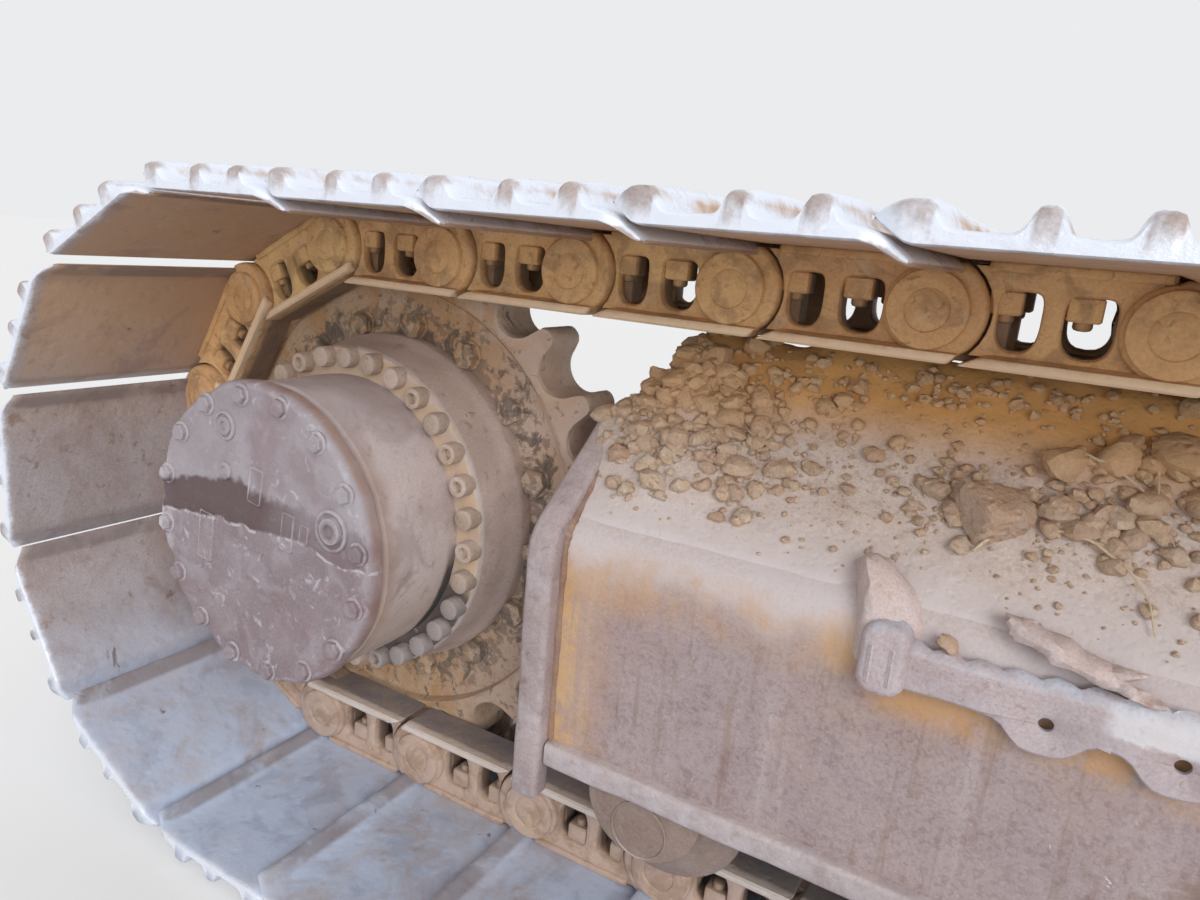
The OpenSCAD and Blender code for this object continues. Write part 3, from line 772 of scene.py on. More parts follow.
def drum_bands(g, shade, place):
    """Brown behind the cover and low on the flank, a painted blue-grey highlight on top, dark smears and
    an oily root.
    """
    c = sizes("finish")
    x, y, z = g.split(place)
    ragged = g.times(g.noise(place, 8.0, 4.0, 0.6), 0.05)
    near_cover = g.fall(g.plus(y, ragged), -0.245, -0.205)
    shade = g.over(shade, (0.32, 0.205, 0.155), near_cover, 0.8)
    low = g.fall(g.plus(z, ragged), AXLE_Z - 0.11, AXLE_Z + 0.06)
    shade = g.over(shade, (0.54, 0.38, 0.27), low, 0.5)
    # Painted highlight: the drum's top is made paler and bluer, as if lit from above.
    top = g.ramp(z, AXLE_Z + 0.10, AXLE_Z + 0.20)
    shade = g.over(shade, (0.46, 0.44, 0.50), top, 0.5)
    cloud = g.patches(place, 9.0, 0.43, 0.62)
    shade = g.over(shade, (0.33, 0.245, 0.225), cloud, 0.55)
    caked = g.patches(place, 20.0, 0.55, 0.64)
    shade = g.over(shade, (0.64, 0.49, 0.37), caked, low, 0.6)
    smear = g.patches(place, 11.0, 0.60, 0.70)
    shade = g.over(shade, (0.20, 0.15, 0.15), smear, 0.55)
    root = g.ramp(g.plus(y, g.times(ragged, 0.4)), -0.140, -0.128)
    root = g.times(root, g.near(x, z, (150, -130), (190, 150)))
    return g.over(shade, c.oil, g.times(root, 1.5, clamp=True))


def dark_screws(g, shade, place):
    """The screws low on the right are oily grey."""
    x, _, z = g.split(place)
    oily_here = g.times(g.near(x, z, (165, -160), (150, 120)), 2.0, clamp=True)
    return g.over(shade, (0.27, 0.25, 0.26), oily_here, 0.75)


def dirty_ring(g, shade, place):
    """Mud between the screws, black oily dirt low on the right and a few smears."""
    c = sizes("finish")
    x, y, z = g.split(place)
    face = g.fall(y, -0.1235, -0.1225)
    mud = g.patches(place, 26.0, 0.36, 0.52)
    shade = g.over(shade, (0.60, 0.44, 0.28), face, mud, 0.8)
    black = g.near(x, z, (170, -165), (160, 120))
    broken = g.patches(place, 30.0, 0.27, 0.40)
    black = g.times(g.times(black, 2.4, clamp=True), broken, face)
    shade = g.over(shade, c.oil, black, 0.92)
    smear = g.patches(place, 7.0, 0.55, 0.70)
    return g.over(shade, (0.30, 0.21, 0.17), smear, 0.45)


def run_height(g, shade, place):
    """Tan mud above and greyer dust below, each partly painted light: warm shade on the upper run and sky
    light on the lower; painted shade inside the links; the rails are dark where rollers run and pale at the
    edge."""
    _, y, z = g.split(place)
    # Greyer below: dust, and painted sky light, against the painted warm shade of the upper run.
    low = g.fall(z, 0.30, 0.70)
    shade = g.over(shade, (0.45, 0.35, 0.325), low, 0.8)
    grime = g.patches(place, 21.0, 0.47, 0.63)
    shade = g.over(shade, (0.24, 0.135, 0.065), grime, 0.5)
    pale = g.patches(place, 48.0, 0.55, 0.68)
    shade = g.over(shade, (0.60, 0.43, 0.27), pale, 0.5)
    # Painted shade: the inner faces and bushings between the two rows of links are darkened.
    inside = g.ramp(g.math("ABSOLUTE", y), 0.078, 0.089, 0.72, 0.0)
    shade = g.over(shade, (0.085, 0.05, 0.035), inside)
    wear = g.attribute("wear")
    broken = g.times(g.noise(place, 34.0, 6.0, 0.7), 0.5)
    face = g.times(g.ramp(wear, 0.40, 0.48), g.fall(wear, 0.60, 0.72))
    face = g.times(face, g.ramp(low, 0.0, 1.0, 0.25, 0.85))
    shade = g.over(shade, (0.165, 0.165, 0.195), face)
    # The pale edge is wear; its tan tone on the upper run is part of the same painted warm shade.
    edge = g.ramp(g.plus(wear, broken), 0.80, 1.10)
    return g.over(shade, g.mix(low, (0.82, 0.62, 0.43), (0.70, 0.63, 0.58)), edge, 0.85)


def shoe_faces(g, shade, place):
    """Inner faces brown on the upper run, partly mud and partly painted warm shade under the track; mauve
    round the sprocket; blue-grey on the ground, partly worn steel and partly painted sky light; and a dark
    band at each lip, partly dirt and partly painted shade.
    """
    c = sizes("finish")
    _, y, z = g.split(place)
    low = g.fall(z, 0.02, 0.34)
    # Brown on the upper run: mud, and painted warm shade under the track.
    high = g.times(g.ramp(z, 0.50, 0.78), g.fall(g.math("ABSOLUTE", y), 0.375, 0.394, 0.15))
    shade = g.over(shade, (0.58, 0.36, 0.20), high, 0.75)
    blotch = g.patches(place, 9.0, 0.22, 0.52)
    # Blue-grey on the ground and the deeper blue patches after it: worn steel, and painted sky light.
    shade = g.over(shade, c.blue, low, blotch, 0.95)
    deep = g.patches(place, 17.0, 0.50, 0.66)
    shade = g.over(shade, (0.33, 0.38, 0.50), low, deep, 0.5)
    rusty = g.patches(place, 12.0, 0.54, 0.68)
    shade = g.over(shade, (0.30, 0.205, 0.19), rusty, g.ramp(low, 0.0, 1.0, 0.5, 0.3))
    dusty = g.patches(place, 6.0, 0.50, 0.70)
    shade = g.over(shade, (0.56, 0.51, 0.51), low, dusty, 0.5)
    flecks = g.patches(place, 14.0, 0.655, 0.70)
    shade = g.over(shade, (0.15, 0.10, 0.085), flecks, 0.75)
    # Dark band at each shoe's lip, where the wear is negative: partly dirt and partly painted shade on the
    # lip's slope.
    dirt = g.fall(g.attribute("wear"), -0.5, -0.15)
    broken = g.patches(place, 11.0, 0.30, 0.62)
    return g.over(shade, (0.23, 0.18, 0.17), dirt, g.ramp(broken, 0.0, 1.0, 0.15, 0.7))


def skirt_face(g, shade, place):
    """A pale patch where the skirt's upper half is torn bare."""
    x, _, z = g.split(place)
    ragged = g.times(g.noise(place, 30.0, 5.0, 0.65), 0.05)
    along = g.ramp(g.plus(x, ragged), AXLE_X + 1.025, AXLE_X + 1.045)
    above = g.ramp(g.plus(z, g.times(ragged, 0.5)), AXLE_Z + 0.066, AXLE_Z + 0.072)
    until = g.fall(x, AXLE_X + 1.17, AXLE_X + 1.19)
    bare = g.times(along, above, until)
    return g.over(shade, (0.72, 0.69, 0.70), bare, 0.9)


def bank(g, shade, place):
    """Orange-brown where the bank rises under the chain, partly mud and partly painted warm shade; greyer
    dust on the slopes, paler toward the shoulder with a painted highlight; and crumbs that are too fine to
    model."""
    fine = g.patches(place, 95.0, 0.55, 0.61)
    shade = g.over(shade, (0.40, 0.30, 0.24), fine, 0.40)
    pale = g.patches(place, 70.0, 0.58, 0.64)
    shade = g.over(shade, (0.72, 0.62, 0.55), pale, 0.5)
    # Under the chain: orange mud, and painted warm shade.
    high = g.ramp(g.split(place)[2], AXLE_Z + 0.215, AXLE_Z + 0.29)
    shade = g.over(shade, (0.66, 0.33, 0.085), high, 0.9)
    # Toward the shoulder: grey dust, and a painted highlight.
    ragged = g.times(g.noise(place, 10.0, 6.0, 0.65), 0.06)
    shoulder = g.fall(g.plus(g.split(place)[2], ragged), AXLE_Z + 0.13, AXLE_Z + 0.22)
    return g.over(shade, (0.61, 0.55, 0.55), shoulder, 0.95)


def clod_height(g, shade, place):
    """Clods under the chain are tinted as orange as the bank, a painted warm shade."""
    # Painted warm shade under the chain.
    high = g.ramp(g.split(place)[2], AXLE_Z + 0.20, AXLE_Z + 0.28)
    return g.over(shade, (0.72, 0.42, 0.17), high, 0.6)


FINISH = {}


def build_finishes():
    """Every finish of the unit, from the scene's colours."""
    c = sizes("finish")
    light_dust = (c.dust, 0.75)
    FINISH.update(
        frame_paint=finish("Rusty side plate", c.mauve, (0.36, 0.28, 0.275), c.brown, 5.0,
                           dust=(c.dust, 0.95), bare=((0.60, 0.56, 0.58), 0.8), grain=(90.0, 150.0, 0.0012),
                           more=side_plate),
        frame_edge=finish("Worn rim", (0.31, 0.235, 0.235), (0.42, 0.345, 0.355), (0.19, 0.115, 0.095), 10.0,
                          dust=light_dust, bare=((0.60, 0.56, 0.59), 0.7), grain=(70.0, 120.0, 0.0018)),
        weld_bead=finish("Rusty weld", (0.22, 0.12, 0.08), (0.33, 0.19, 0.11), c.brown, 25.0,
                         dust=(c.dust, 0.5), grain=(140.0, 220.0, 0.002)),
        cast_housing=finish("Dusty housing", (0.22, 0.18, 0.16), (0.32, 0.25, 0.20), c.brown, 9.0,
                            dust=light_dust),
        drive_flange=finish("Brown flange", (0.50, 0.385, 0.34), (0.58, 0.46, 0.41), (0.28, 0.19, 0.155), 7.0,
                            dust=((0.58, 0.46, 0.39), 0.35), bare=((0.62, 0.57, 0.55), 0.7),
                            grain=(30.0, 40.0, 0.0012), more=dirty_ring),
        drive_drum=finish("Mauve drum", (0.57, 0.475, 0.455), (0.63, 0.54, 0.53), (0.36, 0.26, 0.23), 6.0,
                          dust=((0.60, 0.52, 0.51), 0.35), bare=((0.60, 0.56, 0.58), 0.6),
                          grain=(30.0, 40.0, 0.0012), more=drum_bands),
        drive_cover=finish("Scuffed cover", c.cast, (0.31, 0.26, 0.278), (0.19, 0.145, 0.15), 8.0,
                           bare=((0.56, 0.53, 0.55), 0.7), rough=(0.6, 0.85),
                           grain=(80.0, 70.0, 0.0014), more=cover_face),
        sprocket_steel=finish("Muddy sprocket", c.tan, (0.50, 0.36, 0.24), (0.30, 0.17, 0.09), 8.0,
                              dust=((0.56, 0.44, 0.33), 0.6), bare=((0.60, 0.50, 0.40), 0.6),
                              grain=(45.0, 60.0, 0.004), more=oily),
        bolt_steel=finish("Dusty bolts", (0.44, 0.33, 0.25), (0.52, 0.42, 0.36), (0.28, 0.18, 0.12), 16.0,
                          dust=((0.60, 0.50, 0.44), 0.4), bare=((0.66, 0.62, 0.60), 0.5), more=dark_screws),
        roller_steel=finish("Rusty roller", (0.24, 0.165, 0.13), (0.34, 0.25, 0.21), c.brown, 9.0,
                            dust=light_dust, bare=((0.55, 0.50, 0.48), 0.8)),
        shaft_steel=finish("Dull shaft", (0.33, 0.29, 0.28), (0.42, 0.37, 0.36), c.brown, 14.0, metal=0.4,
                           rough=(0.35, 0.6), dust=light_dust),
        rod_chrome=finish("Plated rod", (0.70, 0.70, 0.71), (0.62, 0.62, 0.63), (0.5, 0.48, 0.45), 10.0,
                          metal=0.9, rough=(0.18, 0.35), grain=(200.0, 300.0, 0.0002)),
        pad_steel=finish("Machined pad", (0.42, 0.39, 0.37), (0.50, 0.47, 0.45), c.brown, 12.0, metal=0.4,
                         rough=(0.4, 0.65), grain=(200.0, 160.0, 0.0006)),
        step_steel=finish("Torn step", (0.43, 0.335, 0.335), (0.52, 0.42, 0.42), (0.28, 0.18, 0.155), 15.0,
                          dust=((0.54, 0.575, 0.66), 0.95), bare=((0.62, 0.62, 0.68), 0.8), more=skirt_face),
        step_mud=finish("Mud on the step", (0.56, 0.44, 0.41), (0.60, 0.50, 0.48), (0.50, 0.31, 0.22), 18.0,
                        rough=(0.85, 1.0), grain=(60.0, 90.0, 0.002)),
        chain_steel=finish("Muddy links", (0.62, 0.355, 0.15), (0.74, 0.47, 0.22), (0.28, 0.145, 0.06), 10.0,
                           dust=((0.70, 0.48, 0.29), 0.25), grain=(55.0, 80.0, 0.0025), more=run_height),
        shoe_steel=finish("Worn shoes", (0.40, 0.33, 0.315), (0.45, 0.40, 0.41), (0.25, 0.16, 0.12), 7.0,
                          bare=(c.polished, 1.0), rough=(0.45, 0.75), metal=0.1, grain=(40.0, 45.0, 0.002),
                          more=shoe_faces),
        mud=finish("Caked mud", (0.585, 0.475, 0.405), (0.64, 0.55, 0.50), (0.42, 0.30, 0.21), 8.0,
                   rough=(0.9, 1.0), grain=(60.0, 110.0, 0.0022), more=bank),
        straw=finish("Dry straw", (0.62, 0.50, 0.34), (0.55, 0.42, 0.26), (0.40, 0.28, 0.16), 40.0,
                     rough=(0.8, 0.9)),
        clay=finish("Dry clay", c.clay, (0.64, 0.50, 0.39), (0.40, 0.25, 0.15), 20.0, rough=(0.9, 1.0),
                    grain=(55.0, 80.0, 0.012), more=clod_height),
    )


# Chain and shoes

# Height of the windows' middle, half their height, and each one's centre along the link and half length
WINDOW_MID = -3.5
WINDOW_HALF = 29.5
WINDOWS = ((-70.0, 22.5), (-131.5, 19.5))

# Places of the track nuts along and out of the link, and their distance from the centre plane
NUT_PLACES = ((-76.0, 14.0), (-146.0, 14.0))
NUT_Y = 75


def pins():
    """Pins of the fixed loop, clockwise from the upper run's first one, the way each link points, the pin
    circle's radius and the run's height. A run has a pin each pitch; an end has them on the pin circle; the
    lower half is the upper turned half round."""
    t = sizes("track")
    link = math.radians(720 / t.teeth)
    radius = t.pitch / (2 * math.sin(link / 2))
    lead = (math.pi - t.wrap_links * link) / 2
    run_height = radius * math.cos(lead)
    run = grid(np.arange(t.run_links) * t.pitch - radius * math.sin(lead), run_height)
    a = lead + np.arange(t.wrap_links) * link
    front = grid(REACH + radius * np.sin(a), radius * np.cos(a))
    half = np.vstack([run, front])
    loop = np.vstack([half, (REACH, 0) - half])
    way = np.roll(loop, -1, 0) - loop
    return loop, np.arctan2(way[:, 1], way[:, 0]), radius, run_height


def window_cell(centre, half, left, right, low, high, t):
    """Web round one window: a plate section carried round it, between the ends that left and right give.
    The window is a superellipse, squarer toward the seat."""
    s = np.linspace(0, 1, 9)[:-1]
    side = np.concatenate([low + (high - low) * s, np.full(8, high), high - (high - low) * s,
                           np.full(8, low)])
    across = np.concatenate([np.full(8, 0.0), s, np.full(8, 1.0), 1 - s])
    border = np.column_stack([right + (left(side) - right) * across, side])
    a = np.arctan2((border[:, 1] - WINDOW_MID) / WINDOW_HALF, (border[:, 0] - centre) / half)
    power = np.where(np.sin(a) > 0, 2 / 5.0, 2 / 2.6)[:, None]
    round_it = polar(1, a)
    middle = np.array([centre, WINDOW_MID])
    hole = middle + (half, WINDOW_HALF) * np.sign(round_it) * np.abs(round_it) ** power
    steps = ((border, 0, t.inner + 10), (border, 0, t.web - 3), (border, 0, t.web),
             (hole, -0.20, t.web - 0.5), (hole, -0.07, t.web - 2), (hole, 0, t.web - 6),
             (hole, 0, t.inner + 13), (hole, -0.08, t.inner + 10))
    rows = [np.column_stack([path + (middle - path) * by, np.full(len(path), h)]) for path, by, h in steps]
    return skin(np.stack(rows), close=True, wear=[0, 0.1, 0.15, 0, 0.2, 0.1, 0, 0])


def link_plate():
    """Outboard link in its own frame: u along it with 0 at the pin end, v out to the shoe, h outboard. Web
    with two windows, rounded pin end whose raised disc runs into the web, and the lower bushing end."""
    t = sizes("track")
    low, high = 12 - t.rail, t.seat - 5
    middle = (WINDOWS[0][0] + WINDOWS[1][0]) / 2
    bush_u = -t.pitch
    shoulder = 61

    def arc(v):
        """Left end of the window's web: a circle about the bushing."""
        return bush_u + np.sqrt(shoulder ** 2 - v ** 2)

    def straight(v):
        """Left end of the other window's web: a straight line between the two."""
        return np.full(len(v), middle)

    cells = [window_cell(*WINDOWS[0], straight, -18.0, low, high, t),
             window_cell(*WINDOWS[1], arc, middle, low, high, t)]
    top = t.boss - 0.5
    boss = lathe([(42, t.web), (41.5, top - 3), (40, top - 1, 0.3), (37, top - 0.2, 0.3), (30, top),
                  (23.5, top - 0.3), (22, top - 1.6), (20.5, top - 0.6, 0.2), (10, top)], segments=44)
    face = t.web + 9
    left = np.radians(np.linspace(184, 261, 8))
    lower, upper = (np.radians(np.linspace(*ends, 6)) for ends in ((-40, 0), (4, 58)))
    outline = np.vstack([polar(46, left), [(0, -51.5), (24, -52.5)], polar(57.5, lower),
                         polar(57.5, upper), [(22, 49), (0, 49.5)], polar(46, -left[::-1])])
    cheek = slab(outline, [(0, t.joint), (0, face - 7), (1.2, face - 2.5, 0.35), (3.5, face - 0.4, 0.35),
                           (7, face, 0.1)])
    end = (bush_u, 0) + polar(50, np.linspace(math.pi / 2, 1.5 * math.pi, 13))
    bush_end = slab(np.vstack([[(-140, 50)], end, [(-140, -50)]]),
                    [(0, t.inner), (0, t.joint - 2.5), (2, t.joint - 1)])
    return joined(cells + [boss, cheek, bush_end, rail_head(t), seat_bar(t)])


def rail_head(t):
    """Rail: a flanged section in (v, h), carried along u between slanted ends, worn bright at its edge."""
    foot = -t.rail
    section = np.array([(foot, t.inner - 6), (foot, 70), (foot, 92), (foot + 0.5, t.boss - 3),
                        (foot + 3, t.boss), (foot + 8, t.boss + 0.5), (foot + 11, t.boss - 1),
                        (foot + 14, t.web + 5), (foot + 19, 70), (foot + 9, t.inner - 6)])
    # The drop from 0.76 to 0.1 crosses the band that run_height darkens, which draws a thin painted shadow
    # line on the flange's back.
    worn = np.array([0.5, 0.5, 0.55, 0.95, 0.9, 0.80, 0.76, 0.1, 0, 0.2])
    along = np.array([0, 0.01, 0.03, 0.25, 0.5, 0.75, 0.97, 0.99, 1])[:, None]
    v, h = np.moveaxis(shrunk(section, [0.86, 0.96, 1, 1, 1, 1, 1, 0.96, 0.86]), -1, 0)
    start = 35 - t.pitch + 1.9 * (v - foot)
    stop = 27 + 0.8 * (v - foot)
    return skin(grid(start + (stop - start) * along, v, h), wear=worn[None])


def seat_bar(t):
    """Bar under the shoe: a rounded section in (v, h), carried along u."""
    section = rounded(10, t.web + 4 - t.inner, 3) + (t.seat - 4.5, (t.web + 6 + t.inner) / 2)
    along = np.array([50 - t.pitch, 54 - t.pitch, -120, -60, -12, -8])[:, None]
    v, h = np.moveaxis(shrunk(section, [0.85, 1, 1, 1, 1, 0.85]), -1, 0)
    return skin(grid(along, v, h), wear=0.1)


def square_nut():
    """Track nut and the bolt's end below it, in the link's frame about the nut's middle, on the v axis."""
    nut = slab(rounded(32, 32, 5, 2), [(2.5, -12), (0, -10), (0, 10), (2.5, 12)])
    tip = lathe([(9, -12), (9, -17), (7.5, -19.5), (4, -20.5)], segments=12)
    return joined([nut, tip]).stood_up()


def links_as(shell, mirror=False, where=(0.0, 0.0), h=0.0):
    """Copies of a shell in a link's frame, one for each link, with its own tone."""
    loop, way, _, _ = pins()
    cos, sin = np.cos(way), np.sin(way)
    u, v = where
    x, z = np.roll(loop, -1, 0).T
    places = grid(x + cos * u - sin * v, z + sin * u + cos * v, h)
    tones = np.random.default_rng(TONE_SEED).uniform(0, 1, len(loop))
    return placed(shell, places, way, mirror, tones)


def at_nuts(shell, where):
    """Copies of a shell at the four track bolts of each link, at two places (u, v) on both sides."""
    return [links_as(shell, where=place, h=h) for place in where for h in (NUT_Y, -NUT_Y)]


# Worn profile of a shoe with three grousers, and its underside, as (along the link, out from the seat)
SHOE_TOP = ((-219, 20.5), (-217, 23), (-213, 27), (-206, 31.5), (-199, 35), (-193, 36.2), (-187, 36.2),
            (-181, 36), (-176, 31), (-172, 23), (-168, 16), (-162, 13.3), (-142, 12.5), (-126, 13),
            (-121, 15), (-117, 21), (-114, 29), (-111, 34.5), (-107, 36.2), (-102, 36), (-98, 33),
            (-95, 25), (-92, 17), (-87, 13.5), (-74, 12.5), (-62, 13), (-57, 15), (-53, 21), (-50, 29),
            (-47, 34.5), (-43, 36.2), (-36, 36), (-31, 34), (-28, 26), (-25, 17), (-20, 13), (-8, 11),
            (2, 8.5), (12, 4), (20, -2), (26, -7), (28, -9.5))
SHOE_FOOT = ((-219, 18), (-211, 13), (-202, 7), (-194, 2), (-189, 0), (-8, 0), (2, -3), (12, -8), (20, -12.5),
             (26, -14.5), (28, -13.5))


def shoe():
    """Shoe in its link's frame: its worn profile carried across the track, lower and rounded toward the
    ends. Crests, edges and the nose are worn bright; the hollows near the ends get the same bright wear
    as a painted highlight."""
    t = sizes("track")
    u, top = np.array(SHOE_TOP, float).T
    foot = np.interp(u, *np.array(SHOE_FOOT, float).T)
    half = np.array([1, 0.996, 0.985, 0.96, 0.9, 0.7, 0.35])
    across = (t.shoe_half * np.concatenate([-half, [0], half[::-1]]))[:, None]
    into = t.shoe_half - np.abs(across)
    rounding = climb(into, 7, 0) ** 2 * 3
    wear_down = 0.22 * np.exp(-into / 30) + 0.035 * np.sin(across / 61)
    high = top - np.clip(top - 13, 0, None) * wear_down - rounding
    low = foot + rounding * 0.6
    reach = across * (1 - (climb(u, -2, 28) * 14 + climb(u, -196, -218) * 12) / t.shoe_half)
    rows = np.concatenate([grid(u, t.seat + high, reach), grid(u, t.seat + low, reach)[:, ::-1]], 1)
    tall = climb(top, 20, 34)
    crest = tall * (0.75 - 0.75 * np.exp(-into / 10))
    edge = np.exp(-into / 9) * (0.95 - 0.75 * tall)
    # Painted highlight: bright wear in the hollows between the grousers, strongest toward the shoe's ends.
    hollow = np.exp(-into / 110) * 0.9 * (1 - tall)
    nose = climb(u, -200, -216) * 0.4 + climb(u, 10, 25) * 0.35
    upper = np.clip(np.maximum(np.maximum(crest, edge), hollow) + nose + 0.12, 0, 1)
    # The negative wear at the lip marks a dark band in shoe_faces: partly dirt, partly painted shade.
    lower = np.clip(np.exp(-into / 9) * 0.7 + nose * 0.4, 0, 1) - 0.7 * climb(u, -2, 10)
    return skin(rows, wear=np.concatenate([upper, lower[:, ::-1]], 1))


class TRACK_OT_chain(bpy.types.Operator):
    """Two rows of links, their bushings and the track nuts in the link windows"""
    bl_idname = "track_unit.chain"
    bl_label = "Chain"

    def execute(self, context):
        t = sizes("track")
        plate = link_plate()
        bush = lathe([(t.bushing, -t.inner - 1), (t.bushing, t.inner + 1)], segments=28)
        for name, shells in (("links_outboard", links_as(plate)),
                             ("links_inboard", links_as(plate, mirror=True)),
                             ("bushings", links_as(bush)),
                             ("track_nuts", at_nuts(square_nut(), NUT_PLACES))):
            put(name, shells, "chain_steel", "track_chain")
        return {"FINISHED"}


class TRACK_OT_shoes(bpy.types.Operator):
    """Shoes with worn grousers, and the heads of the track bolts between them"""
    bl_idname = "track_unit.shoes"
    bl_label = "Shoes"

    def execute(self, context):
        t = sizes("track")
        put("shoes", links_as(shoe()), "shoe_steel", "track_shoes", crease=50)
        heads = at_nuts(hex_head(30, 9).stood_up(), [(u, t.seat + 13) for u, _ in NUT_PLACES])
        put("track_bolt_heads", heads, "shoe_steel", "track_shoes")
        return {"FINISHED"}


# Final drive and sprocket

# Radius of each bolt circle, and the angle of its first bolt in degrees
SCREW_CIRCLE, FIRST_SCREW = 235, 126
COVER_CIRCLE, FIRST_COVER_BOLT = 194.5, 7.4
WEB_CIRCLE, FIRST_WEB_BOLT = 283, 16.8
MOTOR_CIRCLE = 215

# Knocks in the cover's rim as (angle in degrees, depth), and its blank cast pads as (middle, size, lean)
KNOCKS = ((118, 3), (176, 4), (203, 6), (236, 5), (262, 3.5), (322, 3), (20, 2))
PADS = (((-104, -24), (31, 74), -7), ((3, 72), (27, 52), -9), ((65, 22), (24, 54), -7),
        ((97, 27), (17, 27), -9))


def cover_shell(d):
    """Cover: a lathe profile whose rim is pushed in and out by smooth noise and a few knocks."""
    face, r = d.cover_face, d.cover_radius
    profile = np.array([(r - 3, face - 27, 0), (r, face - 24, 0), (r + 0.5, face - 14, 0),
                        (r - 0.5, face - 7, 0.1), (r - 3.5, face - 2.6, 0.32), (r - 8, face - 0.5, 0.38),
                        (r - 14, face, 0.1), (r - 60, face - 0.5, 0), (r - 110, face, 0),
                        (r - 160, face - 0.5, 0), (20, face, 0)])
    radius, h, wear = profile.T[..., None]
    a = around(180)
    angle, deep = np.array(KNOCKS).T
    gap = np.angle(np.exp(1j * (a[:, None] - np.radians(angle))))
    push = (deep * np.exp(-(gap / 0.07) ** 2)).sum(1) + 0.8 * np.sin(9 * a + 1) + 0.5 * np.sin(23 * a)
    push = push * climb(radius, r - 25, r - 5)
    scale = radius * (1 - push / r)
    rows = grid(scale * np.cos(a), scale * np.sin(a), h)
    rows[..., 2] += 0.35 * ripple(rows, 60, seed=5) - 0.35 * push
    return skin(rows, wear=wear)


class TRACK_OT_final_drive(bpy.types.Operator):
    """Cover with its bolts, plugs and blank cast pads, drum and bolted flange"""
    bl_idname = "track_unit.final_drive"
    bl_label = "Final Drive"

    def execute(self, context):
        d = sizes("drive")
        put("cover", cover_shell(d), "drive_cover", "final_drive_cover")
        self.drum_and_flange(d)
        self.screws(d)
        self.cover_details(d)
        nipple = lathe([(6, -12), (6, 8), (4, 10), (4, 15), (2, 16)], segments=12)
        put("grease_nipple", placed(nipple, (182, 172, 76)), "bolt_steel", slot="drive_flange")
        return {"FINISHED"}

    def drum_and_flange(self, d):
        """Drum, a little out of round, and the flange that flares toward the sprocket."""
        face, drum, flange = d.cover_face, d.drum_radius, d.flange_face
        shell = lathe([(drum - 60, face - 24), (drum - 9, face - 25), (drum - 8, face - 30),
                       (drum - 4, face - 34), (drum, face - 38, 0.3), (drum + 1, face - 50),
                       (drum, face - 90), (drum + 0.5, flange + 40), (drum + 0.5, flange + 14),
                       (drum - 1, flange + 4), (drum - 1, flange - 6)], segments=180)
        shell.points[:, :2] *= 1 + 0.004 * ripple(shell.points, 150, seed=8)[:, None]
        put("drum", shell, "drive_drum", "final_drive_drum")
        out, flare, web = d.flange_radius, d.flare_radius, d.web_face
        shell = lathe([(drum - 20, flange + 1), (out - 8, flange), (out - 3, flange - 1.5, 0.5),
                       (out, flange - 6, 0.6), (out + 0.5, flange - 12, 0.2), (out + 2, flange - 22),
                       (out + 5, flange - 50), (out + 9, flange - 68), (flare - 1, flange - 76),
                       (flare, flange - 82, 0.2), (flare, web + 4), (flare - 2, web - 6), (flare - 2, -9.5)],
                      segments=180)
        put("flange", shell, "drive_flange", "final_drive_flange")

    def screws(self, d):
        """Socket screws round the flange, about half of them filled with dirt."""
        number = d.flange_screws
        screw = lathe([(15.5, -4), (15.5, 16), (14.5, 19, 0.3), (12, 20, 0.4), (8.5, 20, 0.3), (7.5, 18.5),
                       (7.2, 9), (3, 8)], segments=20)
        full = lathe([(15.8, -4), (15.8, 15), (14.8, 18.5, 0.2), (12, 20, 0.3), (8, 20.6), (3, 21.2)],
                     segments=20)
        turns = math.radians(FIRST_SCREW) - around(number)
        filled = np.random.default_rng(12).uniform(0, 1, number) < 0.5
        spots = circle_places(SCREW_CIRCLE, turns, d.flange_face)
        tones = np.random.default_rng(13).uniform(0, 1, number)
        both = [placed(screw, spots[~filled], tones=tones[~filled]),
                placed(full, spots[filled], tones=tones[filled])]
        put("flange_screws", both, "bolt_steel", slot="drive_flange")

    def cover_details(self, d):
        """Bolts round the cover's rim; a plug, a small plug and a ringed plug; and the blank cast pads."""
        face = d.cover_face
        head = joined([hex_head(22, 9), lathe([(16, -1.5), (16, 1.2, 0.3), (14.8, 2, 0.5)], segments=16)])
        turns = around(d.cover_bolts, math.radians(FIRST_COVER_BOLT))
        put("cover_bolts", placed(head, circle_places(COVER_CIRCLE, turns, face - 0.5), turns * 3),
            "drive_cover")
        plug = lathe([(21, -3), (21, 1.5), (19, 3, 0.45), (16.5, 3, 0.3), (15, 0.4), (13.5, 0.3),
                      (12.8, 3.5, 0.3), (10, 4, 0.15), (6.5, 4, 0.2), (6, 1)], segments=28)
        small = lathe([(13, -3), (13, 2), (11.5, 3, 0.4), (7, 3.2, 0.2), (6.4, 1)], segments=20)
        ringed = lathe([(29, -3), (29, 1.5), (27, 3, 0.5), (24, 3, 0.4), (22.5, 1), (21.5, -0.5),
                        (19.5, -0.5), (18.5, 4), (17, 5.5, 0.5), (9.5, 5.6, 0.3), (8.8, 1), (3, 0.5)],
                       segments=36)
        raised = [placed(plug, (-59, 145, face)), placed(small, (-60, 81, face)),
                  placed(ringed, (146, 44, face))]
        for (x, z), (wide, tall), lean in PADS:
            pad = slab(rounded(wide, tall, 4), [(-2, -2), (-1, 0.4), (0.5, 2.4, 0.45), (2.2, 2.6, 0.45),
                                                (3.2, 1.4), (3.8, 1.2)])
            raised.append(placed(pad, (x, z, face), math.radians(lean)))
        put("cover_plugs", raised, "drive_cover")


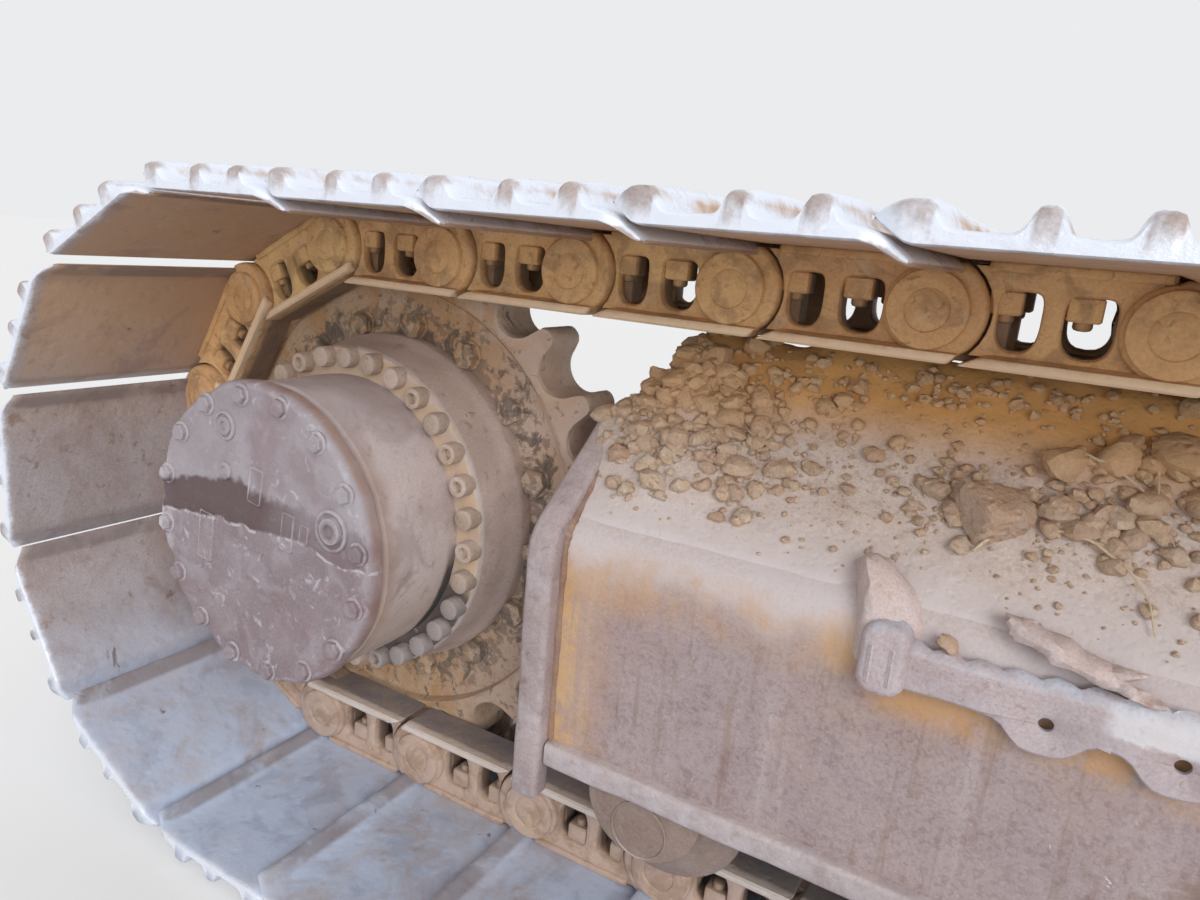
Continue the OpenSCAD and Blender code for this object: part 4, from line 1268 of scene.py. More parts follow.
def sprocket_rim(d, t, pin_radius, lead):
    """Toothed rim: an outline of hollows about the pin circle with tips between them, carried over the
    rim's width. The teeth grow narrower toward their tips and the hollows are scooped a little."""
    step = FULL_TURN / t.teeth
    seat = t.bushing + 1
    hollow = (pin_radius, 0) + polar(seat, np.linspace(-1.36, 1.36, 15)) * (-1, 1)
    hollow = np.column_stack([np.hypot(*hollow.T), np.arctan2(hollow[:, 1], hollow[:, 0])])
    half_gap = hollow[-1, 1]
    tip = pin_radius + d.tooth_out
    flank = np.array([(tip - 6, half_gap + 0.012), (tip - 1.5, half_gap + 0.024)])
    last = [(tip, step / 2 - 0.008), (tip, step / 2 + 0.008)]
    tooth = np.vstack([hollow, flank, last, (0, step) + flank[::-1] * (1, -1)])
    radius = np.tile(tooth[:, 0], t.teeth)
    a = (around(t.teeth, math.pi / 2 + lead)[:, None] + tooth[:, 1]).ravel()
    rise = climb(radius, 362, 412)
    half = d.tooth_half - 9 * rise
    inside = d.rim_inside
    front = [(inside - 8, -2 - d.web_face, 0), (inside + 8, -4 - d.web_face, 0),
             (inside + 12, 3 - d.tooth_half, 0.1), (inside + 18, -d.tooth_half, 0.2),
             (radius - 14 + 4 * rise, -half - 0.5, 0.25), (radius - 3, -half, 0.55),
             (radius, 4 - half, 0.45), (radius - 2 * (1 - rise), 0, 0.1)]
    back = [(r, -h, w) for r, h, w in front[-2:0:-1]] + [(inside - 8, 14 - d.web_face, 0)]
    rows = [grid(r * np.cos(a), r * np.sin(a), -h) for r, h, _ in front + back]
    return skin(np.stack(rows), close=True, wear=[w for _, _, w in front + back])


class TRACK_OT_sprocket(bpy.types.Operator):
    """Sprocket: toothed rim, dished web and its bolts"""
    bl_idname = "track_unit.sprocket"
    bl_label = "Sprocket"

    def execute(self, context):
        d, t = sizes("drive"), sizes("track")
        _, _, pin_radius, run = pins()
        web, root = d.web_face, d.flare_radius - 6
        plate = lathe([(root, web), (300, web), (312, web - 1.5), (326, web + 1), (338, web + 5),
                       (338, -4), (300, -10), (root, -10)], segments=180, close=True)
        rim = sprocket_rim(d, t, pin_radius, math.acos(run / pin_radius))
        put("sprocket_wheel", [rim, plate], "sprocket_steel", "sprocket")
        turns = around(d.web_bolts, math.radians(FIRST_WEB_BOLT))
        bolt = joined([hex_head(36, 17), lathe([(23, -1), (23, 2.5), (21.5, 3.2)], segments=20)])
        spin = np.random.default_rng(4).uniform(0, 1, d.web_bolts)
        put("sprocket_bolts", placed(bolt, circle_places(WEB_CIRCLE, turns, web), spin), "sprocket_steel")
        return {"FINISHED"}


# Side frame

def roof_path(f, half, foot, top):
    """Section (h, z) from the outboard wall's foot over the rounded shoulder, the slope and the flat top to
    the inboard foot: the outboard half and its mirror image."""
    lean = math.pi / 2 - math.atan2(top - f.corner_z, half - f.top_half)
    centre = (half - f.corner_r, f.corner_z - f.corner_r * math.tan(lean / 2))
    arc = centre + polar(f.corner_r, np.linspace(0, lean, 9))
    wall = grid(half, np.linspace(foot, arc[0, 1], 10)[:-1])
    rise = np.linspace(arc[-1], (f.top_half, top), 9)[1:]
    flat = grid(np.linspace(f.top_half, 0, 5)[1:], top)
    path = np.vstack([wall, arc, rise, flat])
    return np.vstack([path, (path * (-1, 1))[-2::-1]])


class TRACK_OT_side_frame(bpy.types.Operator):
    """Box of the side frame with its rear rim, weld bead and bottom rails"""
    bl_idname = "track_unit.side_frame"
    bl_label = "Side Frame"

    def execute(self, context):
        f = sizes("side_frame")
        start, stop = f.rim_x + f.rim_wide, REACH - BOX_GAP
        path = roof_path(f, f.wall_half, f.rail_deep - f.rail_z, f.top_z)
        self.shell(f, path, start, stop)
        self.rim(f)
        self.weld(path, start)
        self.rails(f, start, stop)
        return {"FINISHED"}

    def shell(self, f, outer, start, stop):
        """Box: the section's plate carried along x, with shallow dents of smooth noise in its outer face."""
        x = np.concatenate([[start], start + np.geomspace(4, stop - start - 4, 90), [stop]])[:, None]
        left = left_of(outer)
        ring = np.vstack([outer, (outer + f.plate * left)[::-1]])
        rows = grid(x, ring[:, 1], ring[:, 0])
        n = len(outer)
        dents = 0.9 * ripple(rows, 420, seed=21, octaves=2)[:, :n, None]
        rows[:, :n, [2, 1]] += dents * left
        put("frame_shell", skin(rows), "frame_paint", "frame_box", crease=30)

    def rim(self, f):
        """Rear rim: a rounded section carried over the frame's outline, drawn in at both feet."""
        path = roof_path(f, f.rim_half, -f.rim_foot, f.top_z + f.rim_out)
        inward = left_of(path)
        section = rounded(f.rim_wide, f.rim_deep, 8)
        worn = np.where(section[:, 1] < -8, 0.35, 0.0)
        deep = section[:, 1] + f.rim_deep / 2
        rows = grid(f.rim_x + f.rim_wide / 2 + section[:, 0], path[:, 1:] + inward[:, 1:] * deep,
                    path[:, :1] + inward[:, :1] * deep)
        rows[..., 2] -= 0.8 * ripple(rows, 90, seed=31) * inward[:, :1]
        ends = np.concatenate([rows[:1], rows, rows[-1:]])
        for i in (0, -1):
            ends[i] = shrunk(ends[i], [0.75])[0]
            ends[i, :, 1] -= 5
        put("rear_rim", skin(ends, wear=worn[None]), "frame_edge", "frame_rear_rim")

    def weld(self, path, start):
        """Weld bead beside the rim: a circle, swelling along its way, carried over the box's outline."""
        number = np.arange(260)
        path = refined(path, len(number))
        out = -left_of(path)
        size = (5 + 0.35 * np.sin(number * 0.9) + 0.4 * np.sin(number * 0.37))[:, None]
        a = around(10)
        rise = size * np.sin(a)
        rows = grid(start + size * np.cos(a) * 1.3, path[:, 1:] + out[:, 1:] * rise,
                    path[:, :1] + out[:, :1] * rise)
        put("rim_weld", skin(rows), "weld_bead", slot="frame_paint", crease=60)

    def rails(self, f, start, stop):
        """Bottom rails: a rounded section carried along x under both walls, its outer edge a little wavy."""
        wide = f.rail_half - f.rail_in
        section = rounded(wide, f.rail_deep, 6)
        worn = np.where(section[:, 0] > wide / 2 - 9, 0.5, 0.0)
        x = np.concatenate([[start + 1, start + 4], np.linspace(start + 20, stop - 20, 60), [stop - 3, stop]])
        shrink = np.ones((len(x), 1))
        shrink[[0, -1]] = 0.86
        rows = grid(x[:, None], f.rail_deep / 2 - f.rail_z + section[:, 1] * shrink,
                    (f.rail_half + f.rail_in) / 2 + section[:, 0] * shrink)
        edge = climb(section[:, 0], 0, wide / 2)
        rows[..., 2] -= edge * (1 + ripple(rows, 130, seed=41)) * 0.8
        put("bottom_rails", both_sides(skin(rows, wear=worn[None])), "frame_edge", "roller_rails",
            slot="frame_paint")


class TRACK_OT_rollers(bpy.types.Operator):
    """Track rollers with shafts and collars, carrier rollers and idler"""
    bl_idname = "track_unit.rollers"
    bl_label = "Rollers"

    def execute(self, context):
        f, t = sizes("side_frame"), sizes("track")
        _, _, pin_radius, run = pins()
        rail = run - t.rail
        z = f.roller_r - rail + CLEAR
        places = grid(np.linspace(f.roller_x, REACH - f.roller_x, f.rollers), z, 0)
        self.track_rollers(f, t, places)
        self.collars(f, z, places)
        self.carriers(f, rail)
        self.idler(t, pin_radius)
        return {"FINISHED"}

    def track_rollers(self, f, t, places):
        """Track rollers: two treads with a flange beside each, and the ends of their shafts."""
        r, flange, edge = f.roller_r, f.roller_r + 17, t.inner + 50
        half = [(f.shaft_r + 4, 166), (r - 24, 166), (r - 20, 163), (flange - 3, edge + 44),
                (flange, edge + 40, 0.3), (flange, edge + 22, 0.3), (flange - 2, edge + 19, 0.5),
                (r, edge + 15, 0.8), (r, t.inner - 4, 0.9), (r - 3, t.inner - 8, 0.4),
                (r - 16, t.inner - 14)]
        put("track_rollers", placed(lathe(mirrored(half), segments=48), places), "roller_steel",
            "track_rollers")
        shaft = lathe(mirrored([(f.shaft_r - 3, 214, 0.5), (f.shaft_r, 211, 0.3)]), segments=40)
        put("roller_shafts", placed(shaft, places), "shaft_steel", "roller_shafts")

    def collars(self, f, z, places):
        """Collars under the rails: a round foot with a flat top, and the ring round each shaft's end."""
        top, wide = -f.rail_z - z, f.collar_half
        centre = wide - f.shaft_r - 7
        half = (0, centre) + polar(wide, np.linspace(-0.494 * math.pi, math.asin((top - centre) / wide), 16))
        path = np.vstack([half, half[::-1] * (-1, 1)])
        collar = slab(path, [(4, 172), (0, 176), (0, 213), (2, 216.5, 0.3), (5, 218)])
        put("roller_collars", both_sides(placed(collar, places)), "roller_steel", "roller_collars")
        ring = lathe([(37, 216), (37, 219.5), (35.5, 220.5, 0.4), (34.6, 219.5), (34.6, 215)],
                     segments=40, close=True)
        put("collar_rings", both_sides(placed(ring, places)), "roller_steel")

    def carriers(self, f, rail):
        """Carrier rollers: plain treads with rounded edges, under the upper run."""
        r = f.carrier_r
        half = [(24, 110), (r - 14, 110), (r - 3, 108, 0.2), (r, 104, 0.7)]
        shell = lathe(mirrored(half, [(r, 0, 0.8)]), segments=48)
        put("carrier_rollers", placed(shell, grid(CARRIERS, rail - r - CLEAR, 0)), "roller_steel",
            "carrier_rollers")

    def idler(self, t, pin_radius):
        """Idler: treads for the rails, centre flange between them, dished discs and a hub."""
        tread = pin_radius * math.cos(FULL_TURN / t.teeth) - t.rail - 6
        hub = 53
        half = [(hub, 116), (hub + 46, 116), (hub + 50, 112, 0.3), (hub + 56, 60), (hub + 66, 44),
                (tread - 90, 36), (tread - 72, 40), (tread - 50, 96), (tread - 44, 106),
                (tread - 8, 108, 0.3), (tread - 2, 106, 0.8), (tread, 101, 1), (tread, 44, 1),
                (tread + 3, 41, 0.7), (tread + 17, 39, 0.5), (tread + 20, 35, 0.6)]
        put("idler_wheel", lathe(mirrored(half), (REACH, 0), 120, close=True), "roller_steel", "idler_wheel",
            body="idler")


class TRACK_OT_motor(bpy.types.Operator):
    """Travel motor on the inboard side, with its flange bolts"""
    bl_idname = "track_unit.motor"
    bl_label = "Travel Motor"

    def execute(self, context):
        body = lathe([(160, -35), (170, -40), (170, -101), (238, -102), (240, -105, 0.3), (240, -124),
                      (236, -128, 0.3), (168, -132), (156, -142), (151, -156), (150, -200),
                      (154, -206, 0.2), (154, -222, 0.2), (150, -228), (149, -290), (142, -316),
                      (126, -333), (90, -337), (60, -338)], segments=96)
        bolts = placed(hex_head(30, 16), circle_places(MOTOR_CIRCLE, around(16), 128))
        put("travel_motor", [body, placed(bolts, (0, 0, 0), mirror=True)], "cast_housing", "travel_motor")
        return {"FINISHED"}


# Dried mud on the roof

# The large clods as (x, h, radius), and the way of each stalk as (x, h)
HEAP_CLODS = ((498, 34, 22), (462, 66, 17), (540, 40, 21), (520, 70, 17), (478, 18, 17), (566, 66, 15),
              (446, 100, 13), (585, 92, 14))
RUBBLE_CLODS = ((934, 112, 17), (846, 104, 13), (1034, 62, 30), (1058, 84, 24), (978, 72, 18),
                (1010, 108, 17), (1090, 60, 30), (1085, 100, 20), (1130, 74, 24))
STALKS = (((928, 124), (948, 130), (975, 137), (1003, 148), (1022, 163), (1030, 180)),
          ((930, 70), (960, 84), (1000, 92), (1040, 120)),
          ((872, 150), (890, 142), (900, 128), (915, 120)),
          ((1000, 60), (1012, 76), (1015, 96), (1010, 110)))


def roof_slope(f):
    """How much the roof sinks for each millimetre outboard of its flat top."""
    return (f.top_z - f.corner_z) / (f.wall_half - f.top_half)


def roof_height(f, h):
    """Height of the frame's roof at a distance h from the centre plane: flat top, then the slope."""
    return f.top_z - np.clip(np.abs(h) - f.top_half, 0, None) * roof_slope(f)


def hill(x, h, middle, spread):
    """Bell-shaped rise of height 1 over its middle, with a spread along and across."""
    return np.exp(-((x - middle[0]) / spread[0]) ** 2 - ((h - middle[1]) / spread[1]) ** 2)


def mud_top(f, m, x, h):
    """Height of the mud: the two slopes carried on to a rounded crest under the chain, a heap over the rear
    slope, a dip round each carrier roller, and noise that grows with the mud's thickness."""
    side = np.abs(h)
    tent = f.top_z + (f.top_half - np.hypot(side, 14) + 4) * roof_slope(f)
    roof = roof_height(f, h)
    bank = np.clip(tent + m.crest * climb(side, m.bank_half, 0) - roof, 0, None)
    rise = climb(x, 415, 515)
    bank = bank * rise * rise * (3 - 2 * rise)
    for carrier in CARRIERS:
        bank = bank * (1 - 0.85 * np.exp(-((x - carrier) / 120) ** 2))
    bank = bank * climb(x, REACH - 470, REACH - 590)
    heap = m.heap * hill(x, h, (520, 105), (85, 52)) + 12 * hill(x, h, (960, 100), (90, 42))
    places = grid(x, h, 0)
    thick = bank + heap
    rough = ripple(places, 120, seed=51, octaves=4) * 5 * climb(thick, 0, 40)
    edge = 183 + 13 * ripple(places * (1, 0, 0), 160, seed=53, octaves=4)
    film = (1.1 * ripple(places, 70, seed=52) + 1.7) * np.clip((edge - side) / 26, -1.5, 1)
    return roof + thick + rough + film


def rock(seed, rings=9, sides=12, flat=0.85, planes=15, boxed=False):
    """Clod of unit size: in each direction its radius is the least distance to one of several random
    planes, and of a box where boxed."""
    rng = np.random.default_rng(seed)
    up = np.linspace(0.06, math.pi - 0.06, rings)[:, None]
    a = around(sides)
    way = grid(np.sin(up) * np.cos(a), np.sin(up) * np.sin(a), np.cos(up))
    normals = unit(rng.normal(size=(planes, 3)))
    distance = rng.uniform(0.72, 1.0, planes)
    if boxed:
        normals[:6] = np.vstack([np.eye(3), -np.eye(3)]) + rng.normal(0, 0.08, (6, 3))
        distance[:6] = rng.uniform(0.62, 0.75, 6)
    reach = distance / np.clip(way @ normals.T, 0.3, None)
    radius = np.minimum((reach ** -26).sum(-1) ** (-1 / 26), 1.25) * rng.uniform(0.96, 1.04, reach.shape[:2])
    points = way * radius[..., None] * (1, flat, rng.uniform(0.75, 1.0))
    return skin(points[:, :, [0, 2, 1]])


def turned(quaternions):
    """Rotation matrices of unit quaternions."""
    a, b, c, d = quaternions.T
    return np.stack([1 - 2 * (c * c + d * d), 2 * (b * c - a * d), 2 * (b * d + a * c),
                     2 * (b * c + a * d), 1 - 2 * (b * b + d * d), 2 * (c * d - a * b),
                     2 * (b * d - a * c), 2 * (c * d + a * b), 1 - 2 * (b * b + c * c)], -1).reshape(-1, 3, 3)


def strewn(clods, heights, kinds, seed):
    """Clods of several kinds in one shell, given as (x, h, radius), each turned at random and sunk a
    little below its height."""
    rng = np.random.default_rng(seed)
    x, h, radii = clods.T
    shells = []
    pick = rng.integers(0, len(kinds), len(x))
    for i, kind in enumerate(kinds):
        mine = pick == i
        number = mine.sum()
        if not number:
            continue
        turn = turned(unit(rng.normal(size=(number, 4))))
        size = radii[mine][:, None, None]
        local = np.einsum("kij,nj->kni", turn, kind.points) * size * (1, 0.82, 1)
        place = grid(x[mine], heights[mine] + radii[mine] * 0.3, h[mine])[:, None]
        tones = np.repeat(rng.uniform(0, 1, number), len(kind.points))
        shells.append(Shell((local + place).reshape(-1, 3), kind.copied_quads(number), 0.0, tones))
    return joined(shells)


def clusters(rng, number, *groups):
    """Random (x, h) places in groups: each has its tenths of the number, its middle and its spread."""
    return np.vstack([middle + rng.normal(size=(number * tenths // 10, 2)) * spread
                      for tenths, middle, spread in groups])


class TRACK_OT_mud(bpy.types.Operator):
    """Bank of mud under the chain, heap on the rear slope, clods, crumbs and dry stalks"""
    bl_idname = "track_unit.mud"
    bl_label = "Mud"

    def execute(self, context):
        f, m = sizes("side_frame"), sizes("mud")
        x = np.concatenate([np.linspace(408, 1200, 150), np.linspace(1212, REACH - 440, 110)])[:, None]
        h = np.concatenate([np.linspace(200, 10, 46), np.linspace(4, -200, 34)])[None]
        top = mud_top(f, m, x, h)
        bed = np.broadcast_to(roof_height(f, h) - 6, top.shape)
        top[:, [0, -1]] = bed[:, [0, -1]] + 2
        top[[0, -1]] = bed[[0, -1]] + 2
        rows = np.concatenate([grid(x, top, h), grid(x, bed, h)[:, ::-1]], 1)
        put("mud_bank", skin(rows), "mud", crease=60)
        rng = np.random.default_rng(61)
        self.clods(f, m, rng)
        self.crumbs(f, m, rng)
        self.stalks(f, m)
        return {"FINISHED"}

    def strew(self, name, f, m, clods, kinds, seed):
        """One piece of clods that lie on the mud."""
        x, h, _ = clods.T
        put(name, strewn(clods, mud_top(f, m, x, h), kinds, seed), "clay", crease=32)

    def clods(self, f, m, rng):
        """Clods of the heap, the large one beside the step, and the rubble further forward."""
        kinds = [rock(seed) for seed in range(71, 81)]
        heap = clusters(rng, m.clods, (5, (520, 98), (48, 34)), (2, (470, 40), (30, 34)),
                        (3, (610, 84), (52, 34)))
        radii = 5.6 * rng.lognormal(0.12, 0.48, len(heap))
        x, h = heap.T
        keep = (x > 412) & (h < 178) & (h > -60)
        small = np.column_stack([heap, np.clip(radii, 3, 19)])[keep]
        self.strew("clods_heap", f, m, np.vstack([small, HEAP_CLODS]), kinds, 62)
        rubble = clusters(rng, m.rubble, (5, (1010, 92), (60, 26)), (3, (1160, 90), (80, 34)),
                          (2, (826, 106), (34, 18)))
        radii = 6 * rng.lognormal(0.1, 0.5, len(rubble))
        self.strew("big_clod", f, m, np.array([(886.0, 124.0, 42.0)]), [rock(104, 22, 32, 0.9, 12, True)], 5)
        small = np.column_stack([rubble, np.clip(radii, 3, 24)])
        self.strew("clods_rubble", f, m, np.vstack([small, RUBBLE_CLODS]), kinds, 63)

    def crumbs(self, f, m, rng):
        """Crumbs beside the chain, on the slope and along the front half of the roof."""
        n = m.crumbs
        small = [rock(seed, 5, 6) for seed in range(91, 97)]
        line = np.column_stack([rng.uniform(660, 1250, n // 6), rng.normal(34, 13, n // 6)])
        slope = np.column_stack([rng.uniform(450, 1300, n // 2), rng.triangular(30, 120, 200, n // 2)])
        far = np.column_stack([rng.uniform(1300, REACH - 480, n // 3), rng.normal(0, 95, n // 3)])
        radii = np.concatenate([4.5 * rng.lognormal(0.1, 0.5, len(line)),
                                1.7 * rng.lognormal(0.15, 0.55, len(slope)),
                                4.5 * rng.lognormal(0, 0.6, len(far))])
        crumbs = np.column_stack([np.vstack([line, slope, far]), np.clip(radii, 1, 15)])
        inside = np.abs(crumbs[:, 1]) < 203
        self.strew("crumbs", f, m, crumbs[inside], small, 64)

    def stalks(self, f, m):
        """Dry stalks: thin tubes along curved paths over the rubble."""
        tubes = []
        for path in STALKS:
            x, h = refined(path, 24).T
            lift = 12 * np.sin(np.linspace(0, math.pi, 24)) + 6
            middle = np.column_stack([x, mud_top(f, m, x, h) + lift, h])
            way = unit(np.gradient(middle, axis=0))
            across = unit(np.cross(way, (0, 1, 0)))
            above = np.cross(across, way)
            a = around(6)[:, None]
            radius = np.linspace(1.9, 0.8, 24)[:, None, None]
            circle = np.cos(a) * across[:, None] + np.sin(a) * above[:, None]
            tubes.append(skin(middle[:, None] + radius * circle))
        put("stalks", tubes, "straw")


# Boarding step

# The first hole's distance from the step's start, in lobe pitches
FIRST_HOLE = 1.62


def skirt_foot(s, x):
    """Height of the skirt's wavy lower edge: it sinks round each lobe."""
    along = (x - s.start) / s.lobe_pitch - FIRST_HOLE
    away = (along - np.clip(np.round(along), 0, s.lobes - 1)) * s.lobe_pitch
    return s.low + 3 - 24 * np.exp(-(away / 31) ** 4) + 1.2 * np.sin(x / 17)


def skirt_bow(x):
    """How far the bent skirt bulges outboard."""
    return 1.6 * np.sin(x / 61) + 1.0 * np.sin(x / 23 + 1)


def skirt_rows(s, steps):
    """Rows of a piece of the skirt: each step is a path and its height over the bulging face."""
    return np.stack([np.column_stack([path, s.face + skirt_bow(path[:, 0]) + h]) for path, h in steps])


def lobe_cell(s, centre):
    """Skirt round one hole: the plate's section carried round it."""
    half, high = s.lobe_pitch / 2, s.top - 16
    e = np.linspace(-1, 1, 13)[:-1]
    x = np.concatenate([centre + half * e, np.full(12, centre + half), centre - half * e,
                        np.full(12, centre - half)])
    foot = skirt_foot(s, x)
    up = (e + 1) / 2
    z = np.concatenate([foot[:12], foot[12:24] + (high - foot[12:24]) * up, np.full(12, high),
                        high + (foot[36:] - high) * up])
    border = np.column_stack([x, z])
    middle = np.array([centre, s.low + 10])
    ring = unit(border - middle)
    lower = np.repeat([2.5, 0], [12, 36])[:, None] * (0, 1)
    steps = ((border, -7), (border, -2), (border + lower, 0), (middle + 8.2 * ring, 0),
             (middle + 6.6 * ring, -1.2), (middle + 6.6 * ring, -6), (middle + 8 * ring, -7))
    return skin(skirt_rows(s, steps), close=True, wear=[0, 0.2, 0.35, 0.05, 0.3, 0, 0])


def skirt_piece(s, start, stop):
    """Skirt between a lobe's cell and an ear: the plate between its wavy foot and its straight top."""
    x = np.linspace(start, stop, 12)
    path = np.vstack([grid(x, skirt_foot(s, x)), grid(x[::-1], s.top - 16)])
    lower = np.repeat([2.5, 0], 12)[:, None] * (0, 1)
    return skin(skirt_rows(s, ((path, -7), (path, -2), (path + lower, 0))), wear=[0, 0.2, 0.3])


def ledge(s):
    """Rolled top of the skirt: its inner edge is torn into scallops."""
    x = np.linspace(s.start + s.ear - 4, s.start + s.long - s.ear + 4, 220)
    scallop = np.abs(np.sin(math.pi * x / 33 + 0.6 * np.sin(x / 71)))
    tear = 6 - 7 * scallop ** 0.6 + 1.5 * np.sin(x / 9) * np.sin(x / 31) + 0.8 * np.sin(x / 3.7)
    rise = 5 + 3.0 * np.sin(x / 55 + 1) + 2.4 * scallop + 0.8 * np.sin(x / 4.9)
    section = [(-7, -17), (-7, -6), (-9, rise - 3), (tear - 13, rise - 3), (tear - 15, rise),
               (tear - 13, rise + 2.5), (-10, rise * 0.8 + 3), (-5, rise * 0.6 + 1.5), (-1, rise * 0.3 - 2),
               (0.6, -7), (0, -12), (0, -17)]
    face = s.face + skirt_bow(x)
    rows = np.stack([grid(x, s.top + z, face + h) for h, z in section], 1)
    return skin(rows, wear=np.array([[0, 0, 0.1, 0.3, 0.5, 0.3, 0.1, 0.3, 0.45, 0.15, 0.05, 0]]))


def caked_end(f, x):
    """End plate over the shoulder, with mud caked against its inner side that sinks away from the plate."""
    h = np.array([233, 226, 219, 212, 204, 196, 188, 180], float)
    crest = np.array([98, 117, 131, 141, 148, 152, 152, 148], float)
    height = np.array([0.8, 1, 0.98, 0.86, 0.6, 0.34, 0.14])[:, None]
    bed = np.where(h > f.wall_half, 56.0, roof_height(f, h) - 6)
    x = x[:, None] - 0.42 * (234 - h)
    upper = grid(x, bed + (crest - bed) * height, h)
    upper[..., 1] += 2.2 * ripple(upper, 38, seed=83) * (upper[..., 1] > bed + 8)
    upper[..., 0] += 1.5 * ripple(upper, 30, seed=84)
    return skin(np.concatenate([upper, grid(x, bed, h)[:, ::-1]], 1))


def torn_strip(points, seed):
    """Ragged strip along a path of (x, z, h, half width): a flat ring carried along it and roughened."""
    x, z, h, width = refined(points, 22).T[..., None]
    a = around(10)
    rows = grid(x + 2.0 * np.sin(3 * a), z + width * 0.55 * np.sin(a), h + width * np.cos(a))
    rows += 1.9 * ripple(rows, 26, seed)[..., None]
    return skin(rows, wear=0.15)


class TRACK_OT_step(bpy.types.Operator):
    """What is left of the boarding step: two ears, skirt with holed lobes, torn ledge and caked end plates"""
    bl_idname = "track_unit.step"
    bl_label = "Boarding Step"

    def execute(self, context):
        f, s = sizes("side_frame"), sizes("step")
        stop = s.start + s.long
        holes = s.start + s.lobe_pitch * (np.arange(s.lobes) + FIRST_HOLE)
        half = s.lobe_pitch / 2
        skirt = [*(lobe_cell(s, x) for x in holes), skirt_piece(s, s.start + s.ear - 6, holes[0] - half),
                 skirt_piece(s, holes[-1] + half, stop - s.ear + 6), ledge(s)]
        put("step_skirt", skirt, "step_steel", "step_bracket")
        block = slab(rounded(s.ear, 74, 17, 5),
                     [(0, 219), (0, 238), (2.5, 243, 0.25), (7, 245.5, 0.4), (12, 246, 0.1)])
        ridge = slab(rounded(6, 42, 2.9), [(0, 244), (0.6, 246.6, 0.25), (2, 247.4, 0.3)])
        middles = (s.start + s.ear / 2, stop - s.ear / 2)
        ears = [placed(block, (x, 66, 0)) for x in middles]
        ears += [placed(ridge, (x + dx, 62, 0)) for x in middles for dx in (-11, 9)]
        put("step_ears", ears, "step_steel", "step_bracket")
        away = np.array([-3, 1, 12, 26, 40, 50, 60])
        ends = [caked_end(f, s.start + away), caked_end(f, stop - away)]
        put("step_ends", ends, "step_mud", "step_bracket", slot="step_steel", crease=50)
        flap = [torn_strip(((914, 126, 203, 9), (932, 121, 208, 17), (958, 114, 213, 21), (988, 107, 218, 19),
                            (1008, 102, 221, 15)), 85),
                torn_strip(((990, 107, 218, 13), (1012, 110, 224, 9), (1028, 116, 226, 3)), 86),
                torn_strip(((998, 103, 220, 13), (1020, 98, 226, 11), (1042, 93, 228, 5)), 87)]
        put("step_flap", flap, "step_mud", "step_bracket", slot="step_steel", crease=50)
        pebble = strewn(np.array([(871.0, 222.0, 11.5)]), np.array([90.0]), [rock(97, 12, 18)], 98)
        put("pebble", pebble, "clay", crease=50)
        return {"FINISHED"}


# Stage

# The camera's place in the outboard view, its turns in radians, and its focal length in the photo's pixels
CAMERA_PLACE = (930.98, 426.40, 1031.10)
CAMERA_YAW = -0.507
CAMERA_PITCH = 0.236
CAMERA_ROLL = 0.089
PHOTO_WIDTH = 1200
FOCAL_PIXELS = 847.9

# Pale tint that the camera sees, half the floor's width in metres, and each sun's direction and strength
BACKDROP = (0.98, 0.985, 1.0)
FLOOR_HALF = 40.0
SUNS = {"high": ((0.70, -0.62, 0.55), 1.3), "low": ((0.55, -0.80, 0.10), 0.8)}
SUN_SPREAD = 30


